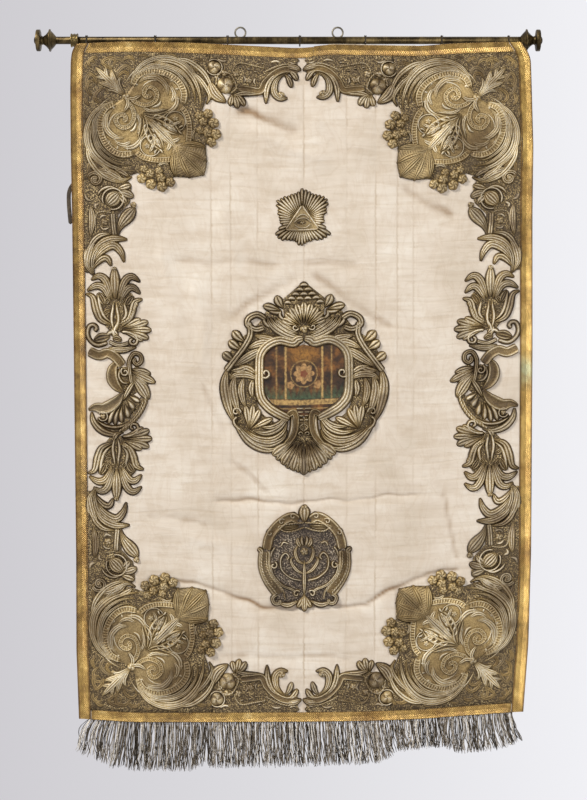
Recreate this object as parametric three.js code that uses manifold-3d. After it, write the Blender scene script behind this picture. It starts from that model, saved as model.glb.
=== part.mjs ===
import * as THREE from 'three';
import { mergeVertices } from 'three/addons/utils/BufferGeometryUtils.js';
import Module from 'manifold-3d';

// A processional church banner: a cream silk ground edged with gold galloon, covered at its
// border with raised metal-thread appliques, hung by thread ties from a brass rod.
// Millimetres, +Z up, the front of the cloth towards -Y. The origin is midway between the
// centres of the two rings that the rod hangs from.

// Driving dimensions
const CLOTH_HALF_WIDTH = 500;
const CLOTH_HEIGHT = 1480;
const CLOTH_CENTRE_X = 28.6;
const CLOTH_TOP_Z = -26.4;
const SILK_THICKNESS = 2;
const GAP = 0.3;

const ROD_RADIUS = 8.25;
const ROD_Z = -16;
const ROD_LEFT = -511.9;
const ROD_RIGHT = 508.6;
const COLLAR_X = -471.5;
const COLLAR_WIDTH = 16;
const COLLAR_RADIUS = 15;
const RING_SPACING = 214;
const RING_Z = 1;
const RING_RADIUS = 11.5;
const RING_WIRE_RADIUS = 2;

const TIE_THICKNESS = 0.8;
const TIE_WIDTH = 2;
const TIE_DROP = 4;
const TIE_PLACES = [-445, -294, -135, 24, 168, 336, 483];

const HEADING_THICKNESS = 1;
const HEADING_DEPTH = 22;
const GALLOON_THICKNESS = 1.2;
const GALLOON_SIDE = 26;
const GALLOON_TOP = 21.5;
const GALLOON_BOTTOM = 20;
const GALLOON_TOP_JOINT = 26;
const GALLOON_OVERHANG = 1;
const FRINGE_HEAD_THICKNESS = 1.4;
const FRINGE_STRANDS = 100;
const STRAND_RADIUS = 1.3;

// Layers, measured from the plane of the rod's axis towards the front
const HEADING_BACK = ROD_RADIUS + GAP + TIE_THICKNESS + GAP;
const SILK_BACK = HEADING_BACK + HEADING_THICKNESS + GAP;
const SILK_FRONT = SILK_BACK + SILK_THICKNESS;
const GALLOON_BACK = SILK_FRONT + GAP;
const APPLIQUE_BACK = SILK_FRONT + 0.65;
const GROUND_THICKNESS = 1.2;
const FRINGE_BACK = SILK_BACK - GAP - FRINGE_HEAD_THICKNESS;

// Finishes
const SILK = new THREE.MeshStandardMaterial({ color: 0xe3d6c3, roughness: 0.45, metalness: 0 });
const LINEN = new THREE.MeshStandardMaterial({ color: 0xb9b2a6, roughness: 0.8, metalness: 0 });
const GALLOON = new THREE.MeshStandardMaterial({ color: 0xb8923a, roughness: 0.4, metalness: 0.7 });
const GOLDWORK = new THREE.MeshStandardMaterial({ color: 0x8a7a58, roughness: 0.4, metalness: 0.7 });
const PAINTED = new THREE.MeshStandardMaterial({ color: 0x6d4a24, roughness: 0.6, metalness: 0 });
const WIRE = new THREE.MeshStandardMaterial({ color: 0x8f887c, roughness: 0.4, metalness: 0.6 });
const BRASS = new THREE.MeshStandardMaterial({ color: 0x5e4f33, roughness: 0.35, metalness: 1 });
const IRON = new THREE.MeshStandardMaterial({ color: 0x6b665a, roughness: 0.4, metalness: 1 });
const THREAD = new THREE.MeshStandardMaterial({ color: 0x3c352c, roughness: 0.8, metalness: 0 });

// The cut and hang of the cloth. s runs across from the centre line, t runs down from the
// top edge. The edges wander a little, and the upper corners are rounded off beside the
// collar and the finial, as they are on the real cloth.
const sideEdges = [
  { t: 0, left: 493.5, right: 478 },
  { t: 14, left: 503, right: 491 },
  { t: 37, left: 506, right: 500.5 },
  { t: 100, left: 507, right: 502.5 },
  { t: 230, left: 506, right: 506 },
  { t: 375, left: 503, right: 504 },
  { t: 690, left: 499, right: 504 },
  { t: 1130, left: 494, right: 501 },
  { t: 1330, left: 493.5, right: 495 },
  { t: 1480, left: 488, right: 484 },
];
const endEdges = [
  { s: -500, top: 0, bottom: -2 },
  { s: -380, top: -4.4, bottom: 6 },
  { s: -244, top: -1.3, bottom: 6 },
  { s: 0, top: 11, bottom: 5 },
  { s: 60, top: 3, bottom: 4.5 },
  { s: 152, top: 5, bottom: 3 },
  { s: 264, top: 7, bottom: -1 },
  { s: 348, top: 1, bottom: -7 },
  { s: 500, top: -4, bottom: -17.5 },
];

// Creases of the silk between the appliques: sunk where depth is below zero
const creases = [
  { from: [-134, 143], to: [-20, 178], depth: -5, width: 20 },
  { from: [-95, 186], to: [33, 246], depth: 3.5, width: 22 },
  { from: [35, 158], to: [125, 222], depth: 2.5, width: 20 },
  { from: [224, 315], to: [320, 374], depth: -5, width: 20 },
  { from: [-275, 477], to: [-60, 477], depth: -3, width: 22 },
  { from: [12, 477], to: [114, 477], depth: -3, width: 22 },
  { from: [-20, 505], to: [-150, 590], depth: -3, width: 18 },
  { from: [28, 505], to: [190, 620], depth: -3, width: 18 },
  { from: [-216, 752], to: [-172, 843], depth: -3, width: 20 },
  { from: [-156, 909], to: [-80, 975], depth: -3, width: 20 },
  { from: [-185, 996], to: [5, 996], depth: -4, width: 20 },
  { from: [310, 994], to: [337, 1133], depth: -3, width: 20 },
  { from: [-334, 1170], to: [-205, 1184], depth: -5, width: 20 },
  { from: [-205, 1184], to: [-90, 1232], depth: -6, width: 20 },
  { from: [-90, 1232], to: [143, 1226], depth: -6, width: 20 },
  { from: [143, 1222], to: [277, 1159], depth: -6, width: 20 },
  { from: [277, 1159], to: [337, 1159], depth: -4, width: 20 },
  { from: [-183, 1338], to: [103, 1340], depth: -3, width: 18 },
];

// Straight-line reading of one column of a table
function between(table, key, value, column) {
  const next = table.findIndex((row) => row[key] >= value);
  if (next === 0) return table[0][column];
  if (next < 0) return table.at(-1)[column];
  const before = table[next - 1];
  const after = table[next];
  const share = (value - before[key]) / (after[key] - before[key]);
  return before[column] + (after[column] - before[column]) * share;
}

// The belly of the whole cloth towards the front, nought along its top edge
function swell(s, t) {
  const down = Math.sin((Math.PI * Math.max(t, 0)) / 1560);
  return 5 * down * Math.cos((Math.PI * s) / 1250);
}

function crease(s, t) {
  let sum = 0;
  for (const { from, to, depth, width } of creases) {
    const run = [to[0] - from[0], to[1] - from[1]];
    const along = ((s - from[0]) * run[0] + (t - from[1]) * run[1]) / (run[0] ** 2 + run[1] ** 2);
    const near = Math.min(1, Math.max(0, along));
    const away = Math.hypot(s - from[0] - near * run[0], t - from[1] - near * run[1]);
    sum += depth * Math.exp(-((away / width) ** 2));
  }
  return sum;
}

// A place on the flat cloth, raised by a height from the rod's plane, as a point in space
function hang(s, t, height) {
  const side = between(sideEdges, 't', t, s < 0 ? 'left' : 'right');
  const top = between(endEdges, 's', s, 'top');
  const bottom = between(endEdges, 's', s, 'bottom');
  const down = t + top + (bottom - top) * (t / CLOTH_HEIGHT);
  const x = CLOTH_CENTRE_X + (s / CLOTH_HALF_WIDTH) * side;
  return new THREE.Vector3(x, -height - swell(s, t), CLOTH_TOP_Z - down);
}

const group = new THREE.Group();

function addPiece(name, geometry, material) {
  const mesh = new THREE.Mesh(geometry, material);
  mesh.name = name;
  group.add(mesh);
  return mesh;
}

function geometryOf(points, faces) {
  const geometry = new THREE.BufferGeometry();
  const positions = points.flatMap((point) => [point.x, point.y, point.z]);
  geometry.setAttribute('position', new THREE.Float32BufferAttribute(positions, 3));
  geometry.setIndex(faces.flat());
  return geometry;
}

// Rings of equal count joined side to side, closed at each end by a fan. A ring of one
// point is a tip. Seen from the far end, each ring runs counter-clockwise.
function loft(rings) {
  const points = [];
  const faces = [];
  const starts = rings.map((ring) => points.push(...ring) - ring.length);
  for (let i = 0; i + 1 < rings.length; i += 1) {
    const count = Math.max(rings[i].length, rings[i + 1].length);
    for (let j = 0; j < count; j += 1) {
      const a = starts[i] + (rings[i].length > 1 ? j : 0);
      const b = starts[i] + (rings[i].length > 1 ? (j + 1) % count : 0);
      const c = starts[i + 1] + (rings[i + 1].length > 1 ? (j + 1) % count : 0);
      const d = starts[i + 1] + (rings[i + 1].length > 1 ? j : 0);
      if (a !== b) faces.push([a, b, d]);
      if (c !== d) faces.push([b, c, d]);
    }
  }
  const last = starts.length - 1;
  for (let j = 1; j + 1 < rings[0].length; j += 1) faces.push([0, j + 1, j]);
  for (let j = 1; j + 1 < rings[last].length; j += 1) {
    faces.push([starts[last], starts[last] + j, starts[last] + j + 1]);
  }
  return geometryOf(points, faces);
}

// Closed sheet between a back and a front height over a grid of columns and rows
function panel({ columns, rows, back, front, upper = () => 0, lower = () => 0, relief = () => 0 }) {
  const points = [];
  const lastRow = rows.length - 1;
  for (const height of [back, front]) {
    rows.forEach((t, i) => {
      for (const s of columns) {
        const shift = upper(s) * (1 - i / lastRow) + lower(s) * (i / lastRow);
        points.push(hang(s, t + shift, height + relief(s, t)));
      }
    });
  }
  const wide = columns.length;
  const layer = wide * rows.length;
  const faces = [];
  for (let i = 0; i < lastRow; i += 1) {
    for (let j = 0; j + 1 < wide; j += 1) {
      const at = i * wide + j;
      faces.push([at, at + 1, at + wide], [at + 1, at + wide + 1, at + wide]);
      const over = at + layer;
      faces.push([over, over + wide, over + 1], [over + 1, over + wide, over + wide + 1]);
    }
  }
  const rim = [
    ...columns.map((_, j) => j),
    ...rows.slice(1).map((_, i) => (i + 2) * wide - 1),
    ...columns.slice(1).map((_, j) => lastRow * wide + wide - 2 - j),
    ...rows.slice(1, -1).map((_, i) => (lastRow - 1 - i) * wide),
  ];
  rim.forEach((at, i) => {
    const next = rim[(i + 1) % rim.length];
    faces.push([at, next + layer, next], [at, at + layer, next + layer]);
  });
  return geometryOf(points, faces);
}

const steps = (from, to, count) => Array.from({ length: count + 1 }, (_, i) => from + ((to - from) * i) / count);

// Cloth pieces
addPiece('silk_ground', panel({
  columns: [-500, -420, ...steps(-340, 340, 13), 420, 500],
  rows: [0, 14, 37, 75, ...steps(125, 1385, 22), 1480],
  back: SILK_BACK,
  front: SILK_FRONT,
  relief: crease,
}), SILK);

// The linen heading shows as a pale sliver over the right half of the top galloon
addPiece('heading_tape', panel({
  columns: [...steps(-478, 20, 6), ...steps(60, 260, 3), ...steps(300, 478, 2)],
  rows: [-0.6, HEADING_DEPTH],
  back: HEADING_BACK,
  front: HEADING_BACK + HEADING_THICKNESS,
  upper: (s) => (s > 50 && s < 270 ? -3.6 : 0),
}), LINEN);

function galloon(name, columns, rows) {
  addPiece(name, panel({
    columns,
    rows,
    back: GALLOON_BACK,
    front: GALLOON_BACK + GALLOON_THICKNESS,
  }), GALLOON);
}

const edge = CLOTH_HALF_WIDTH + GALLOON_OVERHANG;
const inner = CLOTH_HALF_WIDTH - GALLOON_SIDE;
const seam = inner - 1.5;
const sideRows = [-GALLOON_OVERHANG, 14, 37, ...steps(100, CLOTH_HEIGHT + GALLOON_OVERHANG, 18)];
galloon('galloon_left', [-edge, -inner], sideRows);
galloon('galloon_right', [inner, edge], sideRows);
galloon('galloon_top_a', steps(-seam, GALLOON_TOP_JOINT, 9), [-GALLOON_OVERHANG, GALLOON_TOP]);
galloon('galloon_top_b', steps(GALLOON_TOP_JOINT + GAP, seam, 8), [-GALLOON_OVERHANG - 1, GALLOON_TOP - 1]);
galloon('galloon_bottom', steps(-seam, seam, 15), [CLOTH_HEIGHT - GALLOON_BOTTOM, CLOTH_HEIGHT + GALLOON_OVERHANG]);

// Boolean joining of closed meshes
const wasm = await Module();
wasm.setup();

function solidOf(geometry) {
  const bare = geometry.clone();
  bare.deleteAttribute('normal');
  bare.deleteAttribute('uv');
  const merged = mergeVertices(bare, 1e-4);
  return new wasm.Manifold(new wasm.Mesh({
    numProp: 3,
    vertProperties: Float32Array.from(merged.attributes.position.array),
    triVerts: Uint32Array.from(merged.index.array),
  }));
}

function geometryFrom(solid) {
  const mesh = solid.getMesh();
  const geometry = new THREE.BufferGeometry();
  geometry.setAttribute('position', new THREE.Float32BufferAttribute(mesh.vertProperties, 3));
  geometry.setIndex([...mesh.triVerts]);
  return geometry;
}

const join = (geometries) => geometries.map(solidOf).reduce((whole, solid) => whole.add(solid));

// Elements of the raised work, each a closed form standing on the plane of height nought.
// A place function turns the element's own table coordinates into cloth coordinates.
const onCloth = ([s, t], height) => new THREE.Vector3(s, -t, height);

function ridge(place, path, width, height, count, taper) {
  const spots = path.map(([a, b]) => {
    const [s, t] = place(a, b);
    return new THREE.Vector2(s, -t);
  });
  const curve = new THREE.SplineCurve(spots);
  const rings = steps(0, 1, count).map((u) => {
    const share = taper(u);
    const at = curve.getPointAt(u);
    const along = curve.getTangentAt(u);
    if (share < 0.01) return [new THREE.Vector3(at.x, at.y, 0)];
    const half = (width / 2) * share;
    return [
      new THREE.Vector3(at.x - along.y * half, at.y + along.x * half, 0),
      new THREE.Vector3(at.x, at.y, height * Math.sqrt(share)),
      new THREE.Vector3(at.x + along.y * half, at.y - along.x * half, 0),
    ];
  });
  return loft(rings);
}

// A leaf is pointed at both ends and widest at its belly
function leaf(path, width, height = 5, belly = 0.45) {
  const power = Math.log(0.5) / Math.log(belly);
  const count = path.length + 1;
  return (place) => ridge(place, path, width, height, count, (u) => Math.sin(Math.PI * u ** power));
}

// A band keeps its width from end to end
function band(path, width, height = 3, count = path.length + 1) {
  return (place) => ridge(place, path, width, height, count, () => 1);
}

// Leaves spread from one root to a list of tips
const fan = (root, tips, width, height = 5, belly = 0.68) => tips.map((tip) => leaf([root, tip], width, height, belly));

function arc(centre, radius, from, to, count) {
  return steps(from, to, count).map((degrees) => {
    const angle = (degrees * Math.PI) / 180;
    return [centre[0] + radius * Math.cos(angle), centre[1] + radius * Math.sin(angle)];
  });
}

// A volute winds in from its outer radius to its inner one
function volute(centre, outer, inner, from, sweep, width, height = 4) {
  const path = steps(0, 1, 6).map((u) => {
    const angle = ((from + sweep * u) * Math.PI) / 180;
    const radius = inner + (outer - inner) * (1 - u) ** 1.6;
    return [centre[0] + radius * Math.cos(angle), centre[1] + radius * Math.sin(angle)];
  });
  return band(path, width, height, 6);
}

function dome(centre, radius, height = 5, sides = 6) {
  return (place) => {
    const ring = (share, level) => Array.from({ length: sides }, (_, i) => {
      const angle = ((i + 0.5) * 2 * Math.PI) / sides;
      const [s, t] = place(...centre);
      return onCloth([s + radius * share * Math.cos(angle), t - radius * share * Math.sin(angle)], level);
    });
    return loft([ring(1, 0), ring(0.6, height)]);
  };
}

// The cut cloth under an applique lies just below the plane of height nought
function ground(outline) {
  return (place) => {
    const spots = outline.map(([a, b]) => {
      const [s, t] = place(a, b);
      return new THREE.Vector2(s, -t);
    });
    return new THREE.ExtrudeGeometry(new THREE.Shape(spots), { depth: GROUND_THICKNESS, bevelEnabled: false })
      .translate(0, 0, -GROUND_THICKNESS);
  };
}

// Lays a flat form on the hanging cloth, its height nought at the given level
function lay(geometry, level) {
  const positions = geometry.attributes.position;
  for (let i = 0; i < positions.count; i += 1) {
    const spot = hang(positions.getX(i), -positions.getY(i), level + positions.getZ(i));
    positions.setXYZ(i, spot.x, spot.y, spot.z);
  }
  return geometry;
}

function applique(name, elements, place, lift = GROUND_THICKNESS) {
  const flat = geometryFrom(join(elements.map((element) => element(place))));
  addPiece(name, lay(flat, APPLIQUE_BACK + lift), GOLDWORK);
}

// Corner applique, measured from the cloth's side and end: a lobed shield on the diagonal
// with two volutes, a fan of leaves, plumes round it, berries and a rush bundle
const cornerHalf = [
  band(arc([186, 116], 54, -165, 30, 4), 13, 5, 5),
  band(arc([228, 175], 26, -80, 60, 2), 11, 5, 2),
  volute([172, 111], 38, 8, 165, -330, 9),
  leaf([[157, 157], [200, 166], [240, 184]], 27, 5, 0.6),
  leaf([[118, 118], [74, 110]], 14, 5, 0.6),
  leaf([[127, 101], [148, 60], [188, 43], [240, 52], [282, 108]], 30, 6, 0.4),
];
const berries = [[274, 168], [294, 156], [284, 188], [300, 208]];
const groundEdge = [[29, 29], [297, 29], [297, 112], [284, 146], [300, 158], [306, 200], [298, 218]];
const swap = (list) => list.map(([a, b]) => [b, a]);
const mirrored = (element) => (place) => element((a, b) => place(b, a));
const corner = [
  ground([...groundEdge, [298, 298], ...swap(groundEdge.slice(1)).reverse()]),
  ...cornerHalf,
  ...cornerHalf.map(mirrored),
  dome([257, 257], 56, 9, 4),
  leaf([[157, 157], [226, 226]], 20, 7, 0.65),
  leaf([[118, 118], [60, 60]], 18, 6, 0.5),
  ...berries.map((spot) => dome(spot, 12, 6, 5)),
  ...swap(berries).map((spot) => dome(spot, 12, 6, 5)),
];

// Side appliques, measured from the cloth's side and top
const leafGround = [[27, 303], [118, 303], [130, 312], [126, 350], [100, 376], [96, 424], [70, 430], [50, 470], [27, 500]];
const leafGroup = [
  ground(leafGround),
  dome([50, 322], 17, 5, 6),
  dome([88, 341], 23, 8, 8),
  ...fan([104, 330], [[138, 318], [130, 348]], 20, 4, 0.5),
  band([[38, 362], [36, 416]], 11, 4),
  leaf([[93, 430], [108, 396], [137, 362]], 26, 6, 0.6),
  leaf([[36, 472], [60, 441], [85, 428], [121, 429]], 17, 6, 0.5),
  leaf([[38, 490], [85, 444], [113, 479]], 15, 6, 0.5),
  leaf([[36, 502], [66, 472], [84, 487]], 10, 5, 0.5),
];
const tulip = [
  ground([[40, 560], [60, 545], [92, 560], [125, 545], [142, 566], [128, 600], [96, 636], [84, 636], [52, 600]]),
  leaf([[92, 600], [91, 540], [90.5, 488]], 20, 8, 0.55),
  leaf([[89, 570], [62, 508], [39, 520]], 16, 6, 0.5),
  leaf([[96, 570], [120, 508], [147, 526]], 16, 6, 0.5),
  leaf([[31, 552], [49, 596], [90, 630]], 14, 6, 0.4),
  leaf([[151, 561], [130, 596], [88, 630]], 14, 6, 0.4),
  ...fan([96, 626], [[150, 604], [170, 617], [160, 642]], 18),
];
const tulipFoot = [
  leaf([[98, 640], [60, 660], [30, 634]], 17, 5),
  dome([44, 634], 10, 4),
  leaf([[86, 632], [88, 648], [100, 662]], 15, 5),
];
const scroll = [
  band([[31, 673], [54, 678], [76, 676], [104, 700]], 17, 4, 4),
  leaf([[78, 680], [111, 671], [140, 668]], 11, 5),
  leaf([[106, 690], [84, 724], [114, 764]], 25, 5),
  dome([108, 720], 11, 4),
  dome([134, 691], 15, 5, 6),
  leaf([[120, 688], [124, 716], [130, 752]], 20, 5),
  leaf([[122, 712], [157, 726], [181, 741]], 22, 5, 0.5),
  leaf([[122, 724], [147, 754], [162, 778]], 24, 5, 0.55),
  leaf([[112, 745], [86, 785], [31, 803]], 24, 4),
  leaf([[36, 788], [46, 816], [79, 838], [116, 834], [143, 810], [160, 772]], 14, 6),
  ...fan([104, 776], [[84, 836], [112, 832], [138, 804]], 20, 5, 0.7),
];

// Half swag, measured outwards from the centre line and down from the top
const swag = [
  ground([[198, 27], [8, 27], [8, 54], [30, 58], [70, 80], [90, 100], [150, 108], [196, 96]]),
  dome([166, 84], 20, 6, 7),
  dome([182, 50], 13, 5, 5),
  ...fan([148, 96], [[140, 134], [118, 124]], 18, 4, 0.5),
  band([[140, 100], [92, 102], [78, 88], [53, 60], [10, 38]], 12, 4, 5),
  leaf([[26, 42], [72, 84], [79, 124]], 14, 5, 0.6),
  leaf([[24, 44], [56, 86], [32, 111]], 16, 6, 0.5),
  dome([115, 72], 8, 4, 5),
];

const sides = [
  { name: 'left', across: (a) => a - CLOTH_HALF_WIDTH, out: -1 },
  { name: 'right', across: (a) => CLOTH_HALF_WIDTH - a, out: 1 },
];
const ends = [
  { name: 'top', down: (b) => b, leafDown: (t) => t, tulipDown: (t) => t, foot: tulipFoot },
  {
    name: 'bottom',
    down: (b) => CLOTH_HEIGHT - b,
    leafDown: (t) => 1482 - t,
    tulipDown: (t) => 1490 - t,
    foot: [],
  },
];
for (const side of sides) {
  for (const end of ends) {
    const suffix = `${end.name}_${side.name}`;
    applique(`corner_${suffix}`, corner, (a, b) => [side.across(a), end.down(b)]);
    applique(`leaves_${suffix}`, leafGroup, (a, t) => [side.across(a), end.leafDown(t)]);
    applique(`tulip_${suffix}`, [...tulip, ...end.foot], (a, t) => [side.across(a), end.tulipDown(t)]);
    applique(`swag_${suffix}`, swag, (a, t) => [side.out * a, end.down(t)]);
  }
  applique(`scroll_${side.name}`, scroll, (a, t) => [side.across(a), t], 0);
}

// Upper medallion: a triangle with an eye in a burst of rays, five bundles longer
const rayCentre = [0, 378];
const rays = steps(0, 9, 9).map((i) => {
  const angle = (i * 36 - 90) * (Math.PI / 180);
  const reach = i % 2 === 0 ? 67 : 54;
  return leaf([[0, 0], [reach * Math.cos(angle), reach * Math.sin(angle)]], 26, 4, 0.6);
});
applique('ray_medallion', [
  ground(arc([0, 0], 42, 0, 324, 9)),
  ...rays,
  dome([0, 8], 34, 7, 3),
], (a, b) => [rayCentre[0] + a, rayCentre[1] + b]);

// Centre medallion, measured from its own centre line and down from the top: a cartouche
// frame crowned by a shell and a scaled crest, with budded vines and acanthus below
const frameHalf = [[24, 648], [53, 643], [78, 653], [95, 674], [98, 706], [96, 762], [80, 788], [56, 804], [30, 816]];
const flip = (list) => list.map(([a, b]) => [-a, b]);
const opposite = (element) => (place) => element((a, t) => place(-a, t));
const medallionHalf = [
  leaf([[4, 612], [34, 590], [46, 576]], 17, 5, 0.6),
  leaf([[0, 626], [50, 624], [92, 590]], 34, 7, 0.5),
  dome([61, 556], 11, 6, 5),
  dome([75, 566], 12, 6, 5),
  leaf([[40, 600], [60, 580], [66, 552]], 12, 4),
  leaf([[88, 600], [121, 590], [134, 644], [166, 724]], 14, 5, 0.5),
  dome([141, 636], 12, 6, 5),
  dome([160, 676], 12, 6, 5),
  leaf([[88, 660], [126, 676], [162, 704]], 24, 5),
  leaf([[92, 710], [126, 700], [168, 716]], 20, 5),
  leaf([[164, 700], [170, 760], [146, 824]], 34, 7),
  leaf([[20, 812], [40, 868], [96, 880], [158, 806]], 40, 8, 0.5),
  ...fan([104, 850], [[126, 786], [104, 784], [84, 800]], 20, 6, 0.6),
];
const shellTips = [[-30, 569], [-16, 560], [0, 557], [16, 560], [30, 569]];
const bottomTips = [[-60, 896], [-36, 922], [0, 934], [36, 922], [60, 896]];
const crestHalf = [[50, 556], [40, 602], [26, 642]];
const MEDALLION_SHIFT = 4;
applique('crown_medallion', [
  band([[0, 638], ...frameHalf, [0, 822], ...flip(frameHalf).reverse(), [0, 638]], 17, 6, 14),
  ground([[0, 512], ...crestHalf, ...flip(crestHalf).reverse()]),
  ground([[-28, 818], [28, 818], [30, 872], [-30, 872]]),
  ...fan([0, 612], shellTips, 16, 7, 0.75),
  ...fan([0, 840], bottomTips, 24, 7, 0.75),
  dome([0, 542], 26, 4, 3),
  ...medallionHalf,
  ...medallionHalf.map(opposite),
], (a, t) => [MEDALLION_SHIFT + a, t]);

// Painted panel seen through the cartouche frame
const panelHalf = [[24, 663], [52, 658], [68, 664], [82, 680], [85, 706], [83, 756], [68, 777], [50, 790], [28, 802]];
const pictureCloth = ground([[0, 655], ...panelHalf, [0, 806], ...flip(panelHalf).reverse()]);
const pictureFlat = geometryFrom(solidOf(pictureCloth((a, t) => [MEDALLION_SHIFT + a, t])));
addPiece('picture_panel', lay(pictureFlat, APPLIQUE_BACK + GROUND_THICKNESS), PAINTED);

// Lower medallion: a seeded round field in a scrolled frame with bud, ears and trefoil
const roundelHalf = [
  band(arc([0, 1120], 70, -92, 92, 6), 15, 5, 7),
  leaf([[6, 1046], [34, 1018], [66, 1046]], 24, 5),
  leaf([[46, 1040], [80, 1052], [88, 1090]], 22, 5),
  leaf([[96, 1090], [101, 1134], [56, 1214]], 24, 6),
  dome([60, 1210], 13, 6, 5),
  leaf([[0, 1194], [30, 1212], [64, 1212]], 20, 5),
  leaf([[0, 1124], [26, 1102], [48, 1122]], 16, 7),
];
applique('lower_medallion', [
  ground(arc([0, 1120], 76, 0, 330, 11)),
  leaf([[0, 1060], [0, 1030], [0, 1000]], 24, 7),
  leaf([[0, 1184], [0, 1212], [0, 1240]], 24, 6),
  leaf([[0, 1132], [0, 1060]], 16, 7),
  leaf([[0, 1112], [0, 1184]], 16, 7),
  ...roundelHalf,
  ...roundelHalf.map(opposite),
], (a, t) => [5 + a, t]);

// Fringe: strands hanging from a narrow woven head behind the lower edge. Lean is how far
// a tip stands aside of its root, drop is how far it hangs.
const fringeHang = [
  { s: -484, lean: -26, drop: 66 },
  { s: -460, lean: -14, drop: 86 },
  { s: -410, lean: -3, drop: 104 },
  { s: -240, lean: -2, drop: 103 },
  { s: -222, lean: -6, drop: 90 },
  { s: -205, lean: 3, drop: 98 },
  { s: 0, lean: 4, drop: 96 },
  { s: 170, lean: 14, drop: 92 },
  { s: 200, lean: 10, drop: 68 },
  { s: 325, lean: 6, drop: 64 },
  { s: 345, lean: 6, drop: 80 },
  { s: 425, lean: 10, drop: 80 },
  { s: 474, lean: 26, drop: 64 },
];
const fringeHeadTop = CLOTH_HEIGHT - 6;
const fringeHeadBottom = CLOTH_HEIGHT + 3;

function fringeHead() {
  const reach = 478;
  return loft(steps(-reach, reach, 16).map((s) => [
    onCloth([s, fringeHeadBottom], 0),
    onCloth([s, fringeHeadTop], 0),
    onCloth([s, fringeHeadTop], FRINGE_HEAD_THICKNESS),
    onCloth([s, fringeHeadBottom], FRINGE_HEAD_THICKNESS),
  ]));
}

let seed = 7;
function chance() {
  seed = (seed * 16807) % 2147483647;
  return seed / 2147483647 - 0.5;
}

function strand(index) {
  const s = -474 + (948 * index) / (FRINGE_STRANDS - 1);
  const lean = between(fringeHang, 's', s, 'lean') + 5 * chance();
  const drop = between(fringeHang, 's', s, 'drop') * (1 + 0.08 * chance());
  const out = ((index % 4) - 1.5) * 3;
  const middle = FRINGE_HEAD_THICKNESS / 2;
  const spine = [
    { across: s, t: fringeHeadBottom - 2, h: middle, size: 0.45 },
    { across: s + lean, t: fringeHeadBottom + drop - 3, h: middle + out, size: 1 },
  ];
  return loft(spine.map(({ across: aside, t, h, size }) => [0, 1, 2].map((k) => {
    const angle = (k * 2 * Math.PI) / 3;
    const radius = STRAND_RADIUS * size;
    return onCloth([aside + radius * Math.cos(angle), t], h + radius * Math.sin(angle));
  })));
}

const strands = steps(0, FRINGE_STRANDS - 1, FRINGE_STRANDS - 1).map(strand);
addPiece('fringe', lay(geometryFrom(join([fringeHead(), ...strands])), FRINGE_BACK), WIRE);

// Dark tape loop that stands out a little from behind the left edge
const tapePath = [[-494, 302], [-506, 322], [-508, 350], [-505, 396]];
const tapeLoop = ridge((s, t) => [s, t], tapePath, 9, 1.1, 6, () => 1);
addPiece('tape_loop', lay(tapeLoop, SILK_BACK - GAP - GROUND_THICKNESS), THREAD);

// Rod, turned finials, collar and rings
function turned(profile) {
  const spots = profile.map(({ along, radius }) => new THREE.Vector2(radius, along));
  return new THREE.LatheGeometry(spots, 14).rotateZ(-Math.PI / 2);
}

const ringPocket = new THREE.BoxGeometry(2 * RING_RADIUS, 2 * RING_WIRE_RADIUS + 2 * GAP, 10);
const rodBlank = turned([
  { along: ROD_LEFT + GAP, radius: 0 },
  { along: ROD_LEFT + GAP, radius: ROD_RADIUS },
  { along: ROD_RIGHT - GAP, radius: ROD_RADIUS },
  { along: ROD_RIGHT - GAP, radius: 0 },
]).translate(0, 0, ROD_Z);
const pocketFloor = RING_Z - RING_RADIUS - RING_WIRE_RADIUS - GAP;
const rod = [-1, 1].reduce((solid, side) => {
  const pocket = ringPocket.clone().translate((side * RING_SPACING) / 2, 0, pocketFloor + 5);
  return solid.subtract(solidOf(pocket));
}, solidOf(rodBlank));
addPiece('rod', geometryFrom(rod), BRASS);

const finialProfile = [
  { along: 0, radius: 0 },
  { along: 0, radius: 9 },
  { along: 12, radius: 21.5 },
  { along: 13, radius: 24.4 },
  { along: 14.6, radius: 24.4 },
  { along: 16, radius: 21 },
  { along: 28, radius: 9 },
  { along: 34.5, radius: 13.5 },
  { along: 36, radius: 23.5 },
  { along: 43, radius: 23.5 },
  { along: 44, radius: 9 },
  { along: 49.3, radius: 0 },
];

function finial(name, end, towards) {
  const geometry = turned(finialProfile);
  if (towards < 0) geometry.rotateZ(Math.PI);
  addPiece(name, geometryFrom(solidOf(geometry)), BRASS).position.set(end, 0, ROD_Z);
}
finial('finial_left', ROD_LEFT, -1);
finial('finial_right', ROD_RIGHT, 1);

const collarInner = ROD_RADIUS + GAP;
const collarProfile = [
  { along: -0.5, radius: collarInner },
  { along: -0.5, radius: COLLAR_RADIUS },
  { along: -0.1, radius: COLLAR_RADIUS },
  { along: 0, radius: COLLAR_RADIUS - 2 },
  { along: 0.1, radius: COLLAR_RADIUS },
  { along: 0.5, radius: COLLAR_RADIUS },
  { along: 0.5, radius: collarInner },
  { along: -0.5, radius: collarInner },
].map(({ along, radius }) => ({ along: along * COLLAR_WIDTH, radius }));
addPiece('rod_collar', geometryFrom(solidOf(turned(collarProfile))), BRASS).position.set(COLLAR_X, 0, ROD_Z);

sides.forEach(({ name, out }) => {
  const ring = new THREE.TorusGeometry(RING_RADIUS, RING_WIRE_RADIUS, 5, 12).rotateX(Math.PI / 2);
  addPiece(`ring_${name}`, geometryFrom(solidOf(ring)), IRON).position.set((out * RING_SPACING) / 2, 0, RING_Z);
});

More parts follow.
